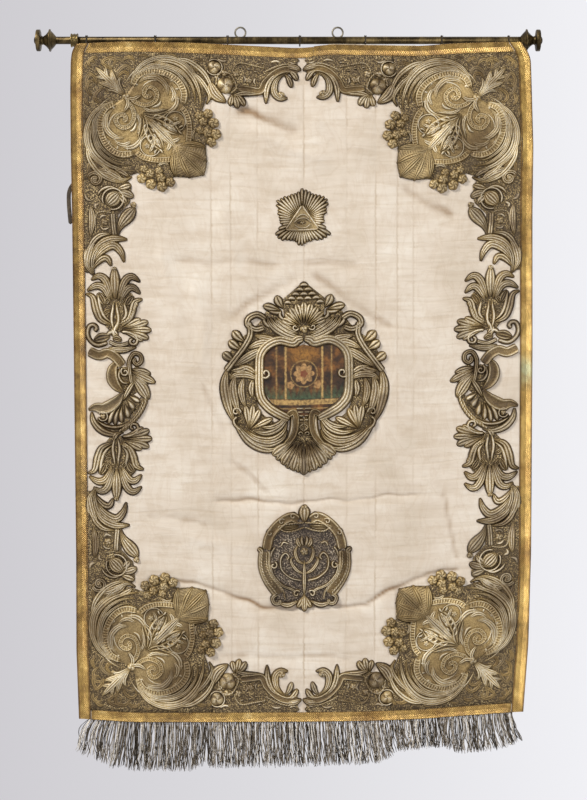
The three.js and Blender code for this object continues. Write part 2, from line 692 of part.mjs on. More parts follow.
// Thread ties: flat loops round the rod, hanging down behind the heading
function slotShape(radius) {
  const shape = new THREE.Shape();
  shape.absarc(0, 0, radius, 0, Math.PI, false);
  shape.absarc(0, -TIE_DROP, radius, Math.PI, 2 * Math.PI, false);
  return shape;
}
const tieShape = slotShape(ROD_RADIUS + GAP + TIE_THICKNESS);
tieShape.holes.push(slotShape(ROD_RADIUS + GAP));
const tieGeometry = new THREE.ExtrudeGeometry(tieShape, { depth: TIE_WIDTH, bevelEnabled: false, curveSegments: 4 })
  .rotateX(Math.PI / 2)
  .rotateZ(Math.PI / 2);
tieGeometry.computeBoundingBox();
const tieCentre = tieGeometry.boundingBox.getCenter(new THREE.Vector3());
tieGeometry.translate(-tieCentre.x, -tieCentre.y, -tieCentre.z - TIE_DROP / 2);
TIE_PLACES.forEach((x, i) => {
  addPiece(`tie_${i + 1}`, geometryFrom(solidOf(tieGeometry)), THREAD).position.set(x, 0, ROD_Z);
});

export default group;
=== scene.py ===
# %% [markdown]
# # A church banner on its rod
# The banner is a cream silk cloth edged with woven gold galloon. Its border is covered with
# raised metal-thread work, three medallions stand on its centre line, a bullion fringe hangs
# from its lower edge, and seven thread ties hold it to a turned brass rod.
#
# The frame gives the real size and place of every piece. The looks are built over it.

# %% Load the frame
import math
from functools import partial

import bpy
import numpy as np
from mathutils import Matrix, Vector


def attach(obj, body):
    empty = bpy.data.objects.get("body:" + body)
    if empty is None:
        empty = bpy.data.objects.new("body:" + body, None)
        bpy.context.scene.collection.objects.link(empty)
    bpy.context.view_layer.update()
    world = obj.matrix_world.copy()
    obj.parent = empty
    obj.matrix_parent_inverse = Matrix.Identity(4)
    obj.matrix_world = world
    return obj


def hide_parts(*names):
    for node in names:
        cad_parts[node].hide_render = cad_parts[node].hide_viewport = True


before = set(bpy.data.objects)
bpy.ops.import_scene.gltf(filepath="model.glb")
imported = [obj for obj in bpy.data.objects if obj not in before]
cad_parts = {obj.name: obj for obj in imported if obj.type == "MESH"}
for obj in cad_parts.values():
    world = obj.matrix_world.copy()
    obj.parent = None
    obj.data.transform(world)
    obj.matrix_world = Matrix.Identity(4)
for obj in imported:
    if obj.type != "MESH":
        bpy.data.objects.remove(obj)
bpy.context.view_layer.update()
rng = np.random.default_rng(11)

# %% [markdown]
# ## The camera
# The banner was photographed square on, with the camera a little under four metres away, level
# with the middle of the cloth. The camera comes first, so that each piece can be judged in it.

# %% Camera
VIEW_CENTRE = (0.0099, -0.807)
VIEW_HEIGHT = 1.76
VIEW_DISTANCE = 3.9
SENSOR = 36.0

camera_data = bpy.data.cameras.new("camera")
camera_data.sensor_fit = "VERTICAL"
camera_data.sensor_height = SENSOR
camera_data.lens = SENSOR * VIEW_DISTANCE / VIEW_HEIGHT
camera = bpy.data.objects.new("camera", camera_data)
camera.location = (VIEW_CENTRE[0], -VIEW_DISTANCE, VIEW_CENTRE[1])
camera.rotation_euler = (math.radians(90), 0, 0)
bpy.context.scene.collection.objects.link(camera)
bpy.context.scene.camera = camera
bpy.context.scene.view_settings.view_transform = "Standard"
print("lens", round(camera_data.lens, 1), "mm")

# %% [markdown]
# ## How the cloth hangs
# Everything sewn to the cloth follows its hang, so one function serves them all. A place on the
# flat cloth is given in millimetres: s across from the centre line, t down from the top edge,
# and a height towards the front, counted from the plane of the rod's axis. The edges wander, the
# upper corners are rounded off beside the collar and the finial, and the whole cloth bellies
# forward a little.

# %% Hang of the cloth
CLOTH_HALF_WIDTH = 500.0
CLOTH_HEIGHT = 1480.0
CLOTH_X = 28.6
CLOTH_TOP_Z = -26.4
SILK_FRONT = 12.95
SIDE_T = [0, 14, 37, 100, 230, 375, 690, 1130, 1330, 1480]
SIDE_LEFT = [493.5, 503, 506, 507, 506, 503, 499, 494, 493.5, 488]
SIDE_RIGHT = [478, 491, 500.5, 502.5, 506, 504, 504, 501, 495, 484]
END_S = [-500, -380, -244, 0, 60, 152, 264, 348, 500]
END_TOP = [0, -4.4, -1.3, 11, 3, 5, 7, 1, -4]
END_BOTTOM = [-2, 6, 6, 5, 4.5, 3, -1, -7, -17.5]


def soft_reading(value, places, sizes, reach):
    """The straight-line reading of a table, averaged over five places within reach."""
    return sum(np.interp(value + reach * k / 2, places, sizes) for k in (-2, -1, 0, 1, 2)) / 5


SWELL_DEPTH, SWELL_HEIGHT, SWELL_WIDTH = 5.0, 1560.0, 1250.0


def swell(s, t):
    """Half a sine wave down the cloth times a flat cosine across it."""
    return SWELL_DEPTH * np.sin(np.pi * np.maximum(t, 0) / SWELL_HEIGHT) * np.cos(np.pi * s / SWELL_WIDTH)


def hang(s, t, height):
    """Width follows the side tables, drop follows the end tables, depth is height plus swell."""
    s, t, height = np.broadcast_arrays(np.asarray(s, float), t, height)
    left = soft_reading(t, SIDE_T, SIDE_LEFT, 8)
    right = soft_reading(t, SIDE_T, SIDE_RIGHT, 8)
    top = soft_reading(s, END_S, END_TOP, 24)
    bottom = soft_reading(s, END_S, END_BOTTOM, 24)
    x = CLOTH_X + s / CLOTH_HALF_WIDTH * np.where(s < 0, left, right)
    z = CLOTH_TOP_Z - t - top - (bottom - top) * t / CLOTH_HEIGHT
    return np.stack((x, -height - swell(s, t), z), axis=-1) / 1000


print("lower right corner", hang(500, 1480, SILK_FRONT).round(3))

# %% [markdown]
# ## Colours and nodes
# Colours are written as the eye reads them, in sRGB hex, and turned to linear light once. One
# small function adds a shader node, sets its values and makes its links, whatever its kind.

# %% Colour and node helpers


def linear(hex_colour):
    """Each channel c becomes c / 12.92 when dark, or ((c + 0.055) / 1.055) to the 2.4."""
    channels = [int(hex_colour[i:i + 2], 16) / 255 for i in (1, 3, 5)]
    light = [c / 12.92 if c <= 0.04045 else ((c + 0.055) / 1.055) ** 2.4 for c in channels]
    return (*light, 1.0)


def feed(tree, socket, value):
    """A socket takes another node's output as a link, a hex colour as linear light, or a number."""
    if isinstance(value, bpy.types.NodeSocket):
        tree.links.new(value, socket)
    else:
        socket.default_value = linear(value) if isinstance(value, str) else value


def add(tree, kind, *values, output=None, stops=(), **settings):
    """Adds one shader node and gives back its output: the named one, or the first in use.

    A word after the kind is its operation. Values go into the sockets in use, in their order.
    Settings with a capital are sockets, and the others properties. Stops belong to a ramp.
    """
    kind, _, operation = kind.partition(" ")
    node = tree.nodes.new("ShaderNode" + kind)
    if operation:
        node.operation = operation
    for key, value in settings.items():
        if key[0].isupper():
            feed(tree, node.inputs[key.replace("_", " ")], value)
        else:
            setattr(node, key, value)
    for socket, value in zip([s for s in node.inputs if s.enabled], values):
        feed(tree, socket, value)
    for spot, (place, colour) in enumerate(stops):
        elements = node.color_ramp.elements
        element = elements[spot] if spot < len(elements) else elements.new(1.0)
        element.position, element.color = place, linear(colour)
    return node.outputs[output] if output else next(o for o in node.outputs if o.enabled)


def new_material(name):
    """A material with one Principled shader, and add() for its own tree."""
    material = bpy.data.materials.new(name)
    material.use_nodes = True
    return material, partial(add, material.node_tree)


def layered(node, colour, *layers):
    """Colours laid over a colour: each layer is its blend mode, how much of it, and its paint."""
    for mode, share, paint in layers:
        colour = node("Mix", share, colour, paint, data_type="RGBA", blend_type=mode)
    return colour


def finish(material, bump=(), **sockets):
    """Feeds the shader's sockets by name; a bump is a height, its strength and its depth in metres."""
    tree = material.node_tree
    if bump:
        height, strength, depth = bump
        sockets["Normal"] = add(tree, "Bump", Height=height, Strength=strength, Distance=depth)
    for key, value in sockets.items():
        feed(tree, tree.nodes["Principled BSDF"].inputs[key.replace("_", " ")], value)
    return material


print("half grey in linear light", round(linear("#808080")[0], 3))

# %% [markdown]
# ## Metal-thread work
# Real gold and silver thread is a thin gilt strip wound on silk. It is couched in rows over
# padding. Its colour has fine lines across each ridge where the rows turn, and it paints the light
# and shade of the relief: pale painted highlights on the ridges and brown painted shade in the grooves.
# The piece's own UV map runs along and across each ridge in metres, and two attributes help: relief
# shading is 0 in a groove and 1 on a ridge, and tone differs from one leaf to the next.

# %% Goldwork materials
THREAD_PITCH = 0.0016  # real passing thread lies 0.4 mm apart, drawn four times as coarse to show
SEED_SIZE = 0.0030     # cut purl seeds of the ground, about 3 mm
VEIL_SCALE = 11        # tarnish in patches of about 90 mm


def goldwork_material(name, stops, gilding):
    """Passing thread over padding: pale painted highlights on the ridges, painted shade in the brown grooves, fine rows
    across.
    """
    material, node = new_material(name)
    relief_shading, tone = (node("Attribute", attribute_name=key, output="Fac") for key in ("relief_shading", "tone"))
    place = node("TexCoord", output="Object")
    along = node("SeparateXYZ", node("UVMap", uv_map="thread"))
    rows = node("MapRange", node("Math SINE", node("Math MULTIPLY", along, 2 * math.pi / THREAD_PITCH)), -1, 1)
    veil = node("TexNoise", place, Scale=VEIL_SCALE, Detail=4, Roughness=0.6)
    specks = node("TexNoise", place, Scale=420, Detail=2)
    # worn is the painted relief shading, pale on the ridges and shaded in the grooves, roughened by fine specks
    worn = node("Math ADD", relief_shading, node("Math MULTIPLY", node("Math SUBTRACT", specks, 0.5), 0.75))
    colour = layered(
        node, node("ValToRGB", worn, stops=zip((0.03, 0.27, 0.52, 0.76, 0.98), stops)),
        ("MIX", node("MapRange", tone, 0.2, 1, 0, gilding), "#a98a48"),
        ("MIX", node("MapRange", tone, -0.3, -1, 0, 0.35), "#857a66"),
        ("MULTIPLY", node("MapRange", veil, 0.36, 0.66, 0.85, 0), "#75654c"),
        ("MULTIPLY", node("MapRange", rows, 0, 0.7, 0.35, 0), "#5e4c2e"))
    height = node("Math ADD", node("Math MULTIPLY", rows, 0.5), specks)
    return finish(material, (height, 0.45, 0.0006), Base_Color=colour, Metallic=0.28,
                  Roughness=node("MapRange", specks, 0.3, 0.7, 0.34, 0.52))


def seeded_material(name, stops):
    """Ground strewn with cut purl: small bright seeds on dark silk, each painted with a highlight on its crown and
    shade towards its rim.
    """
    material, node = new_material(name)
    place = node("TexCoord", output="Object")
    drift = node("TexNoise", place, Scale=90, Detail=2, output="Color")
    bent = node("VectorMath MULTIPLY_ADD", drift, (0.008, 0.008, 0.008), place)
    away = node("TexVoronoi", bent, Scale=1 / SEED_SIZE)
    veil = node("TexNoise", place, Scale=30, Detail=4, Roughness=0.7)
    hump = node("MapRange", away, 0.62, 0.12)
    # lit paints each seed's round shape as light and shade: brightest on its crown, darker towards its rim and between
    # seeds
    lit = node("Math MULTIPLY", hump, node("MapRange", veil, 0.34, 0.66, 0.35, 1))
    colour = node("ValToRGB", lit, stops=zip((0.05, 0.35, 0.62, 0.9), stops))
    return finish(material, (hump, 0.8, 0.0012), Base_Color=colour, Metallic=0.3, Roughness=0.5)


# The stops run from the painted shade of the grooves to the painted highlight on the ridge tops.
GOLDWORK = goldwork_material(
    "couched gilt thread", ("#46371c", "#927a4a", "#cbb179", "#f2dfb0", "#fffbea"), 0.25)
TARNISHED = goldwork_material(
    "couched silver-gilt thread, tarnished", ("#43331d", "#6e5837", "#9d865a", "#cfba88", "#fff6e2"), 0.25)
SEEDED = seeded_material("ground seeded with cut purl", ("#483a25", "#7d6a46", "#a99264", "#e9d8ab"))
SEQUINS = seeded_material("ground of tarnished sequins", ("#352c25", "#6a5c4b", "#8f816d", "#ddd2bd"))
print("materials", ", ".join(m.name for m in (GOLDWORK, TARNISHED, SEEDED, SEQUINS)))

# %% [markdown]
# ## Raised forms as surfaces
# A leaf, band or cord is a cross-section carried along a smooth path, so its surface is a
# function of two numbers: how far along, and how far across. Each form is worked out in the
# motif's own flat coordinates, and only then laid on the hanging cloth. That way one drawing
# serves the four corners in mirror image.

# %% Paths and sections


def evenly(line, step, least=2):
    """The line read again at even steps of its length, and the lengths at which it is read."""
    run = np.concatenate(([0], np.cumsum(np.linalg.norm(np.diff(line, axis=0), axis=1))))
    even = np.linspace(0, run[-1], max(least, int(run[-1] / step) + 1))
    return np.stack([np.interp(even, run, line[:, k]) for k in (0, 1)], axis=1), even


def smooth(points, step):
    """A Catmull-Rom curve through the points, read again at even steps of its length."""
    knots = np.asarray(points, float)
    padded = np.vstack((2 * knots[0] - knots[1], knots, 2 * knots[-1] - knots[-2]))
    fine = np.linspace(0, len(knots) - 1, 24 * (len(knots) - 1) + 1)
    base = np.minimum(fine.astype(int), len(knots) - 2)
    u = (fine - base)[:, None]
    a, b, c, d = (padded[base + k] for k in range(4))
    curve = 0.5 * (2 * b + (c - a) * u + (2 * a - 5 * b + 4 * c - d) * u**2 + (3 * b - a - 3 * c + d) * u**3)
    spine, even = evenly(curve, step, 5)
    tangent = np.gradient(spine, even, axis=0)
    return spine, tangent / np.linalg.norm(tangent, axis=1, keepdims=True), even


# Each section gives a rise and a relief shading. The relief shading is painted light: pale where a rib, cord or rung
# stands up to catch the light, dark in the grooves and sunk floors where shade falls.
def ribbed(count):
    """A low dome cut into count round ribs; the grooves between them are sharp, with painted shade in them."""
    def section(along, v):
        rib = np.abs(np.sin(np.pi * count * (v + 1) / 2)) ** 0.75
        dome = 1 - 0.55 * v**2
        return dome * (0.4 + 0.6 * rib) + 0 * along, rib * (0.62 + 0.38 * dome) + 0 * along
    return section, 4 * count + 3


def rimmed(along, v):
    """A sunk floor with a round cord along each edge."""
    cord = np.exp(-(((np.abs(v) - 0.8) / 0.16) ** 2))
    floor = 0.45 - 0.15 * np.cos(np.pi * v)
    return floor * 0.6 + 0.75 * cord + 0 * along, 0.38 + 0.6 * cord + 0 * along


def outlined(along, v):
    """A floor painted dark as shade, with a round cord along each edge and a thin one down the middle."""
    cord = np.exp(-(((np.abs(v) - 0.78) / 0.17) ** 2)) + 0.8 * np.exp(-((v / 0.14) ** 2))
    return 0.15 + 0.8 * cord + 0 * along, 0.16 + 0.78 * cord + 0 * along


def runged(pitch):
    """Edge cords with short rungs between them, one rung in each pitch along."""
    def section(along, v):
        cord = np.exp(-(((np.abs(v) - 0.82) / 0.13) ** 2))
        rung = np.clip(0.2 + np.cos(2 * np.pi * (along / pitch + 0.12 * v)), 0, 1) ** 0.7
        within = np.clip(1.25 - np.abs(v) * 1.5, 0, 1) ** 0.5
        return 0.3 + 0.6 * cord + 0.55 * rung * within, 0.3 + 0.6 * cord + 0.5 * rung * within
    return section


def roped(pitch):
    """A round cord whose plies wind across it."""
    def section(along, v):
        ply = np.abs(np.sin(np.pi * (along / pitch + 0.5 * v)))
        rise = np.sqrt(np.clip(1 - v**2, 0, 1))
        return rise * (0.75 + 0.25 * ply), 0.35 + 0.65 * ply * rise
    return section


print("a straight path of 100 mm has", len(smooth([(0, 0), (100, 0)], 2.5)[0]), "stations")

# %% [markdown]
# The forms below return a grid of points with the painted relief shading on it. The first and last columns go
# straight down as a skirt, so that no form shows a gap under its edge.

# %% Leaf, band, cord, berry and cloth forms
SKIRT = 1.7        # how far the edge of a form goes down into the cloth
MARGIN_LIFT = 0.15
MARGIN_RELIEF = 0.2


class Form:
    """A grid of flat places a, b with a height, its painted relief shading, and thread lengths along and across."""

    def __init__(self, a, b, height, relief_shading, along, across, ground=False):
        self.grid = np.stack((a, b, height), axis=-1)
        self.relief_shading = relief_shading
        self.thread = np.stack((along, across), axis=-1)
        self.ground = ground
        self.tone = 0.0


def carried(path, width, height, section, samples, taper, step, margin=2.0):
    """Spine plus normal times half width times v, raised by the section's rise times height.

    A margin of brown cloth lies flat outside both edges, as a cut applique has.
    """
    spine, tangent, even = smooth(path, step)
    v = np.concatenate(([-1, -1], np.linspace(-1, 1, samples), [1, 1]))
    outset = margin * np.concatenate(([-1, -1], np.zeros(samples), [1, 1]))
    share = taper(even / even[-1])[:, None]
    along, across = np.meshgrid(even, v, indexing="ij")
    rise, relief_shading = section(along, across)
    half = np.maximum(width / 2 * share, 0.03)
    normal = np.stack((-tangent[:, 1], tangent[:, 0]), axis=1)
    flat = spine[:, None, :] + normal[:, None, :] * (half * across + outset)[..., None]
    level = height * rise * np.sqrt(share) * np.ones_like(across)
    level[:, [1, -2]] = MARGIN_LIFT
    level[:, [0, -1]] = level[[0, -1]] = -SKIRT
    # the painted relief shading fades towards the tapered ends, as painted shade there
    relief_shading = relief_shading * np.clip(0.45 + 0.75 * share, 0, 1)
    relief_shading[:, [0, 1, -2, -1]] = relief_shading[[0, -1]] = MARGIN_RELIEF
    return Form(flat[..., 0], flat[..., 1], level, relief_shading, along, across * half)


def pointed(belly):
    """Half a sine wave along, widest at the belly and pointed at both ends."""
    power = math.log(0.5) / math.log(belly)
    return lambda u: np.sin(np.pi * np.clip(u, 0, 1) ** power) ** 0.8


def blunt(u):
    """Full width, closing quickly at both ends."""
    return np.clip(1 - np.abs(2 * u - 1) ** 24, 0, 1) ** 0.5


def leaf(path, width, ribs=3, height=4.5, belly=0.45):
    """A leaf of parallel padded ribs, pointed at both ends."""
    section, samples = ribbed(ribs)
    return carried(path, width, height, section, samples, pointed(belly), 3.7)


def cell(path, width, height=3.2, belly=0.5):
    """An almond cell: a sunk floor painted dark as shade, with one line down it, inside a raised cord."""
    return carried(path, width, height, outlined, 17, pointed(belly), 2.4)


def ladder(path, width, height=4, pitch=5.8):
    """A band between two edge cords with a rung every pitch."""
    return carried(path, width, height, runged(pitch), 11, blunt, 1.6)


def felt(path, width):
    """A flat band of seeded ground, to lie under a group of leaves."""
    form = carried(path, width, 1.0, lambda along, v: (0.2 + 0 * v * along, 0 * v * along), 3, blunt, 6, 0)
    form.ground = True
    return form


def strap(path, width, ribs=3, height=3):
    """A band of parallel ribs that keeps its width."""
    section, samples = ribbed(ribs)
    return carried(path, width, height, section, samples, blunt, 3)


def cord(path, width=3.4, height=2.6, pitch=5):
    """A twisted cord laid on the surface."""
    return carried(path, width, height, roped(pitch), 7, blunt, 1.6)


def spiral(centre, outer, inner, start, sweep, count=14):
    """Points of a spiral: the radius falls from outer to inner as the angle sweeps round."""
    u = np.linspace(0, 1, count)
    angle = np.radians(start + sweep * u)
    radius = inner + (outer - inner) * (1 - u) ** 1.5
    return np.stack((centre[0] + radius * np.cos(angle), centre[1] + radius * np.sin(angle)), axis=1)


def arc(centre, radius, start=0, sweep=340):
    """Points of an arc at an even radius."""
    return spiral(centre, radius, radius, start, sweep)


def boss(centre, radius, height=6, petals=4, twist=0.5, squash=1.0, turn=0.0):
    """A dome over a disc, pinched along curved lines between its petals."""
    r = np.concatenate((np.linspace(0, 1, 8), [1.0]))[:, None]
    angle = np.linspace(0, 2 * np.pi, 8 * petals + 1)[None, :]
    pinch = np.abs(np.cos(petals / 2 * angle + twist * 3 * r)) ** 0.6
    dome = np.sqrt(np.clip(1 - r**2, 0, 1))
    reach = radius * r * (1 - 0.14 * (1 - pinch))
    level = height * dome * (0.62 + 0.38 * pinch) + 0.3
    level[-1] = -SKIRT
    # painted light: pale on the crown of the dome and on the petals, painted shade in the pinched lines between them
    relief_shading = (0.12 + 0.8 * pinch) * (0.55 + 0.45 * dome)
    relief_shading[-1] = 0.05
    across, down = reach * np.cos(angle), squash * reach * np.sin(angle)
    cos, sin = math.cos(turn), math.sin(turn)
    a = centre[0] + across * cos - down * sin
    b = centre[1] + across * sin + down * cos
    return Form(a, b, level, relief_shading, r * radius + 0 * angle, angle * radius * 0.5 + 0 * r)


def cushion(centre, half, height, rib=8):
    """A square dome with herringbone ribs that meet on its diagonal."""
    x, y = np.meshgrid(np.linspace(-1, 1, 37), np.linspace(-1, 1, 37), indexing="ij")
    round_x, round_y = x * np.sqrt(1 - y**2 / 3.2), y * np.sqrt(1 - x**2 / 3.2)
    swollen = np.clip((1 - x**4) * (1 - y**4), 0, 1) ** 0.4
    lines = np.where(x > y, x + 0.5 * y, y + 0.5 * x)
    weave = np.abs(np.sin(np.pi * lines * half / rib))
    level = height * swollen * (0.7 + 0.3 * weave)
    edge = (np.abs(x) == 1) | (np.abs(y) == 1)
    level[edge] = -SKIRT
    # painted light: pale on the ribs and the swollen top, painted shade between the ribs and down the sides
    relief_shading = np.where(edge, 0.05, (0.1 + 0.85 * weave) * (0.35 + 0.65 * swollen))
    a, b = centre[0] + half * 1.12 * round_x, centre[1] + half * 1.12 * round_y
    return Form(a, b, level, relief_shading, x * half, y * half)


def shrunk(outline, centre, step, rings):
    """Rings that shrink from an outline, read at even steps, to a centre that sees all of it."""
    rim, _ = evenly(np.asarray([*outline, outline[0]], float), step)
    share = np.concatenate(([1.0], np.linspace(1, 0, rings)))[:, None, None]
    return np.moveaxis(np.asarray(centre, float) + share * (rim - np.asarray(centre, float)), -1, 0)


def cut_cloth(outline, centre, level=0.35, relief_shading=None):
    """Cloth cut to an outline: seeded ground, or, given a relief shading, a satin floor of thread work at that even
    painted shade.
    """
    a, b = shrunk(outline, centre, 7, 12)
    height = np.full(a.shape, level)
    height[0] = -SKIRT
    return Form(a, b, height, np.full_like(height, relief_shading or 0.0), a, b, ground=relief_shading is None)


print("a corner's cushion has", cushion((0, 0), 37, 9).grid.shape, "points")

# %% [markdown]
# ## From forms to a sewn piece
# All the forms of one applique are joined in one mesh, in the place of its node. The forms are
# laid on the cloth by a place function, and each grid is turned so that its faces point to the
# front. Mirrored places turn a grid over, so the turn is measured and not assumed.

# %% Laying forms on the cloth
WORK_LEVEL = SILK_FRONT + 1.3


def grid_quads(rows, columns):
    """The quads of a grid whose points are numbered row by row."""
    index = np.arange(rows * columns).reshape(rows, columns)
    return np.stack((index[:-1, :-1], index[1:, :-1], index[1:, 1:], index[:-1, 1:]), axis=-1).reshape(-1, 4)


def to_front(spots, quads):
    """The quads as they are, or turned over if the sum of their faces points to the back."""
    first, second = spots[quads[:, 2]] - spots[quads[:, 0]], spots[quads[:, 3]] - spots[quads[:, 1]]
    return quads if np.cross(first, second)[:, 1].sum() < 0 else quads[:, ::-1]


def gather(forms, place):
    """Points, quads, relief, tone, thread lengths and ground flags of all the forms."""
    parts, start = [], 0
    for form in forms:
        s, t = place(form.grid[..., 0], form.grid[..., 1])
        spots = hang(s, t, WORK_LEVEL + form.grid[..., 2]).reshape(-1, 3)
        quads = to_front(spots, grid_quads(*form.relief_shading.shape))
        parts.append((spots, quads + start, form.relief_shading.ravel(), np.full(len(spots), form.tone),
                      form.thread.reshape(-1, 2), np.full(len(quads), form.ground)))
        start += len(spots)
    return [np.concatenate(part) for part in zip(*parts)]


def mesh_object(name, points, quads, materials, uv=None, attributes=None, slots=None):
    """A smooth mesh from whole arrays, with its thread map in millimetres and its attributes."""
    mesh = bpy.data.meshes.new(name)
    mesh.vertices.add(len(points))
    mesh.vertices.foreach_set("co", np.asarray(points, np.float32).ravel())
    mesh.loops.add(quads.size)
    mesh.loops.foreach_set("vertex_index", quads.astype(np.int32).ravel())
    mesh.polygons.add(len(quads))
    mesh.polygons.foreach_set("loop_start", np.arange(0, quads.size, quads.shape[1], dtype=np.int32))
    mesh.update(calc_edges=True)
    for material in materials:
        mesh.materials.append(material)
    if slots is not None:
        mesh.polygons.foreach_set("material_index", slots.astype(np.int32))
    mesh.polygons.foreach_set("use_smooth", np.full(len(quads), True))
    if uv is not None:
        layer = mesh.uv_layers.new(name="thread")
        layer.data.foreach_set("uv", (uv[quads.ravel()] / 1000).astype(np.float32).ravel())
    for key, values in (attributes or {}).items():
        mesh.attributes.new(key, "FLOAT", "POINT").data.foreach_set("value", values.astype(np.float32).ravel())
    mesh.validate()
    obj = bpy.data.objects.new(name, mesh)
    bpy.context.scene.collection.objects.link(obj)
    return obj


def settle(piece, node):
    """The piece rides on the body, and the frame's own part for its node is hidden."""
    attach(piece, "root")
    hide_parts(node)


def sew(name, forms, place, node, threads=TARNISHED, ground=SEEDED):
    """Makes one applique in the place of its node, rides it on the body and hides the frame's part for it."""
    for form in forms:
        form.tone = float(rng.uniform(-1, 1))
    points, quads, relief_shading, tone, thread, slots = gather(forms, place)
    attributes = {"relief_shading": relief_shading, "tone": tone}
    settle(mesh_object(name, points, quads, (threads, ground), thread, attributes, slots), node)
    print(name, len(quads) * 2, "triangles")


def diagonal(rows):
    """Each row's form, then its mirror image across the corner's diagonal unless it lies on it."""
    forms = []
    for make, path, *sizes in rows:
        path = np.asarray(path, float)
        forms.append(make(path, *sizes))
        if (path != path[..., ::-1]).any():
            forms.append(make(path[..., ::-1], *sizes))
    return forms


# %% [markdown]
# ## The corners
# Each corner holds a lobed shield set on the diagonal. Two beaded volutes spring from a knot, a
# ladder band rounds each side in a large lobe and a small one, and leaves fan out inside. Plumes
# sweep round the outside, a palmette points into the corner, berries hang at the two inner ends,
# and a square rush bundle closes the tip.

# %% Corner forms
def swapped(path):
    """The same path on the other side of the diagonal, from its far end."""
    return [(b, a) for a, b in path[::-1]]


GROUND_HALF = [
    (303, 60), (297, 100), (290, 130), (284, 146), (300, 156), (308, 180), (306, 205), (292, 222), (294, 260),
]
CORNER_GROUND = [(23, 19), (300, 19), *GROUND_HALF, (286, 286), *swapped(GROUND_HALF), (21, 300)]
LOBE = [(133, 96), (142, 77), (160, 66), (186, 63), (215, 72), (236, 89), (245, 110), (242, 134)]
SMALL_LOBE = [(239, 140), (250, 155), (256, 178), (256, 200), (254, 217)]
SHIELD_HALF = LOBE + SMALL_LOBE[1:4]
SHIELD = [(118, 118), *SHIELD_HALF, (254, 254), *swapped(SHIELD_HALF)]
PLUMES = [
    ([(129, 99), (139, 68), (160, 45), (194, 33), (228, 37), (257, 55), (281, 89), (288, 118)], 12, 3),
    ([(134, 92), (152, 64), (181, 50), (213, 52), (240, 64), (260, 88), (268, 112), (268, 134)], 11, 3),
    ([(176, 44), (210, 40), (240, 50), (266, 78), (279, 112), (281, 142)], 12, 2),
    ([(150, 62), (185, 54), (214, 58), (236, 72), (254, 98), (258, 124)], 8, 2),
    ([(222, 34), (256, 40), (288, 64), (304, 96), (303, 122)], 12, 2),
    ([(262, 62), (285, 84), (300, 112), (293, 132)], 10, 2),
]
CURLS = [
    ([(292, 40), (276, 36), (262, 44), (268, 58), (284, 58)], 9), ([(232, 32), (214, 27), (196, 28)], 7),
    ([(118, 50), (104, 36), (86, 38), (84, 52), (96, 58)], 8), ([(60, 34), (46, 32), (38, 44), (46, 54)], 8),
    ([(140, 42), (126, 32), (112, 34)], 7), ([(100, 78), (112, 66), (124, 70), (120, 84)], 7),
    ([(92, 60), (76, 52), (66, 40), (74, 32)], 7), ([(170, 34), (156, 28), (142, 32)], 6),
    ([(52, 66), (38, 72), (34, 88), (44, 96), (54, 88)], 8),
    ([(78, 100), (62, 104), (52, 118), (60, 130), (74, 126)], 8),
    ([(40, 108), (34, 124), (38, 140)], 7), ([(286, 30), (300, 46), (302, 70)], 7),
]
VOLUTE = [
    (131, 124), (146, 134), (164, 137), (181, 129), (187, 114), (182, 103),
    (170, 97), (161, 103), (159, 114), (167, 119), (175, 113),
]
BANDS = [
    (ladder, LOBE, 14, 5),
    (ladder, SMALL_LOBE, 12, 5),
    (leaf, [(209, 118), (206, 94), (186, 76), (160, 78), (143, 94)], 14, 3, 5),
    (leaf, [(216, 132), (224, 112), (214, 90)], 10, 2, 4),
    (ladder, VOLUTE, 9.5, 5, 4.2),
    (leaf, [(196, 124), (190, 136), (172, 143)], 7, 1, 4),
]
INNER_LEAVES = [
    (leaf, [(150, 140), (176, 150), (204, 142)], 8, 2, 4),
    (leaf, [(238, 206), (222, 214), (206, 208)], 10, 2, 4),
    (leaf, [(229, 108), (229, 132), (216, 148), (196, 154)], 12, 2, 4.5),
    (strap, arc((226, 172), 22, 100, 330), 3.4, 1, 4.5),
    (cell, [(154, 154), (184, 158), (216, 146)], 20, 6),
    (leaf, [(206, 180), (224, 178), (243, 168)], 10, 2, 4.5),
    (boss, (226, 165), 7, 6, 5),
    (cell, [(158, 158), (196, 172), (236, 200)], 30, 6, 0.6),
    (leaf, [(196, 178), (214, 184), (232, 198)], 13, 3, 5),
    (leaf, [(164, 170), (192, 200), (212, 226)], 11, 2, 5.5),
    (leaf, [(157, 157), (192, 192), (232, 232)], 19, 4, 7, 0.6),
    (leaf, [(120, 120), (99, 98), (84, 66)], 10, 3, 5, 0.6),
    (leaf, [(120, 118), (104, 92), (108, 74)], 9, 2, 4.5, 0.6),
    (leaf, [(116, 114), (88, 96), (58, 86)], 12, 3, 4.5, 0.6),
    (leaf, [(110, 104), (84, 80), (52, 74)], 11, 2, 4, 0.65),
    (leaf, [(118, 118), (84, 84), (52, 52)], 14, 3, 6, 0.6),
    (leaf, [(118, 120), (136, 124), (155, 113)], 10, 2, 6.5),
    (boss, (120, 120), 9, 8, 3),
]
TIP_LEAVES = [
    (leaf, [(226, 226), (258, 222), (293, 226)], 17, 4, 10, 0.6),
    (leaf, [(230, 232), (264, 242), (295, 258)], 17, 3, 11, 0.6),
    (leaf, [(228, 228), (258, 258), (288, 288)], 20, 4, 12, 0.6),
    (leaf, [(226, 226), (240, 232), (262, 232)], 9, 2, 9),
]
BERRIES = [
    ((297, 152), 11), ((309, 172), 12), ((286, 170), 10), ((314, 196), 12),
    ((295, 194), 11), ((276, 157), 9), ((304, 214), 11), ((280, 190), 9),
]


def toned(forms, share):
    """The same forms with their painted relief shading dulled to a share: weaker painted highlights, darker forms."""
    for form in forms:
        form.relief_shading *= share
    return forms


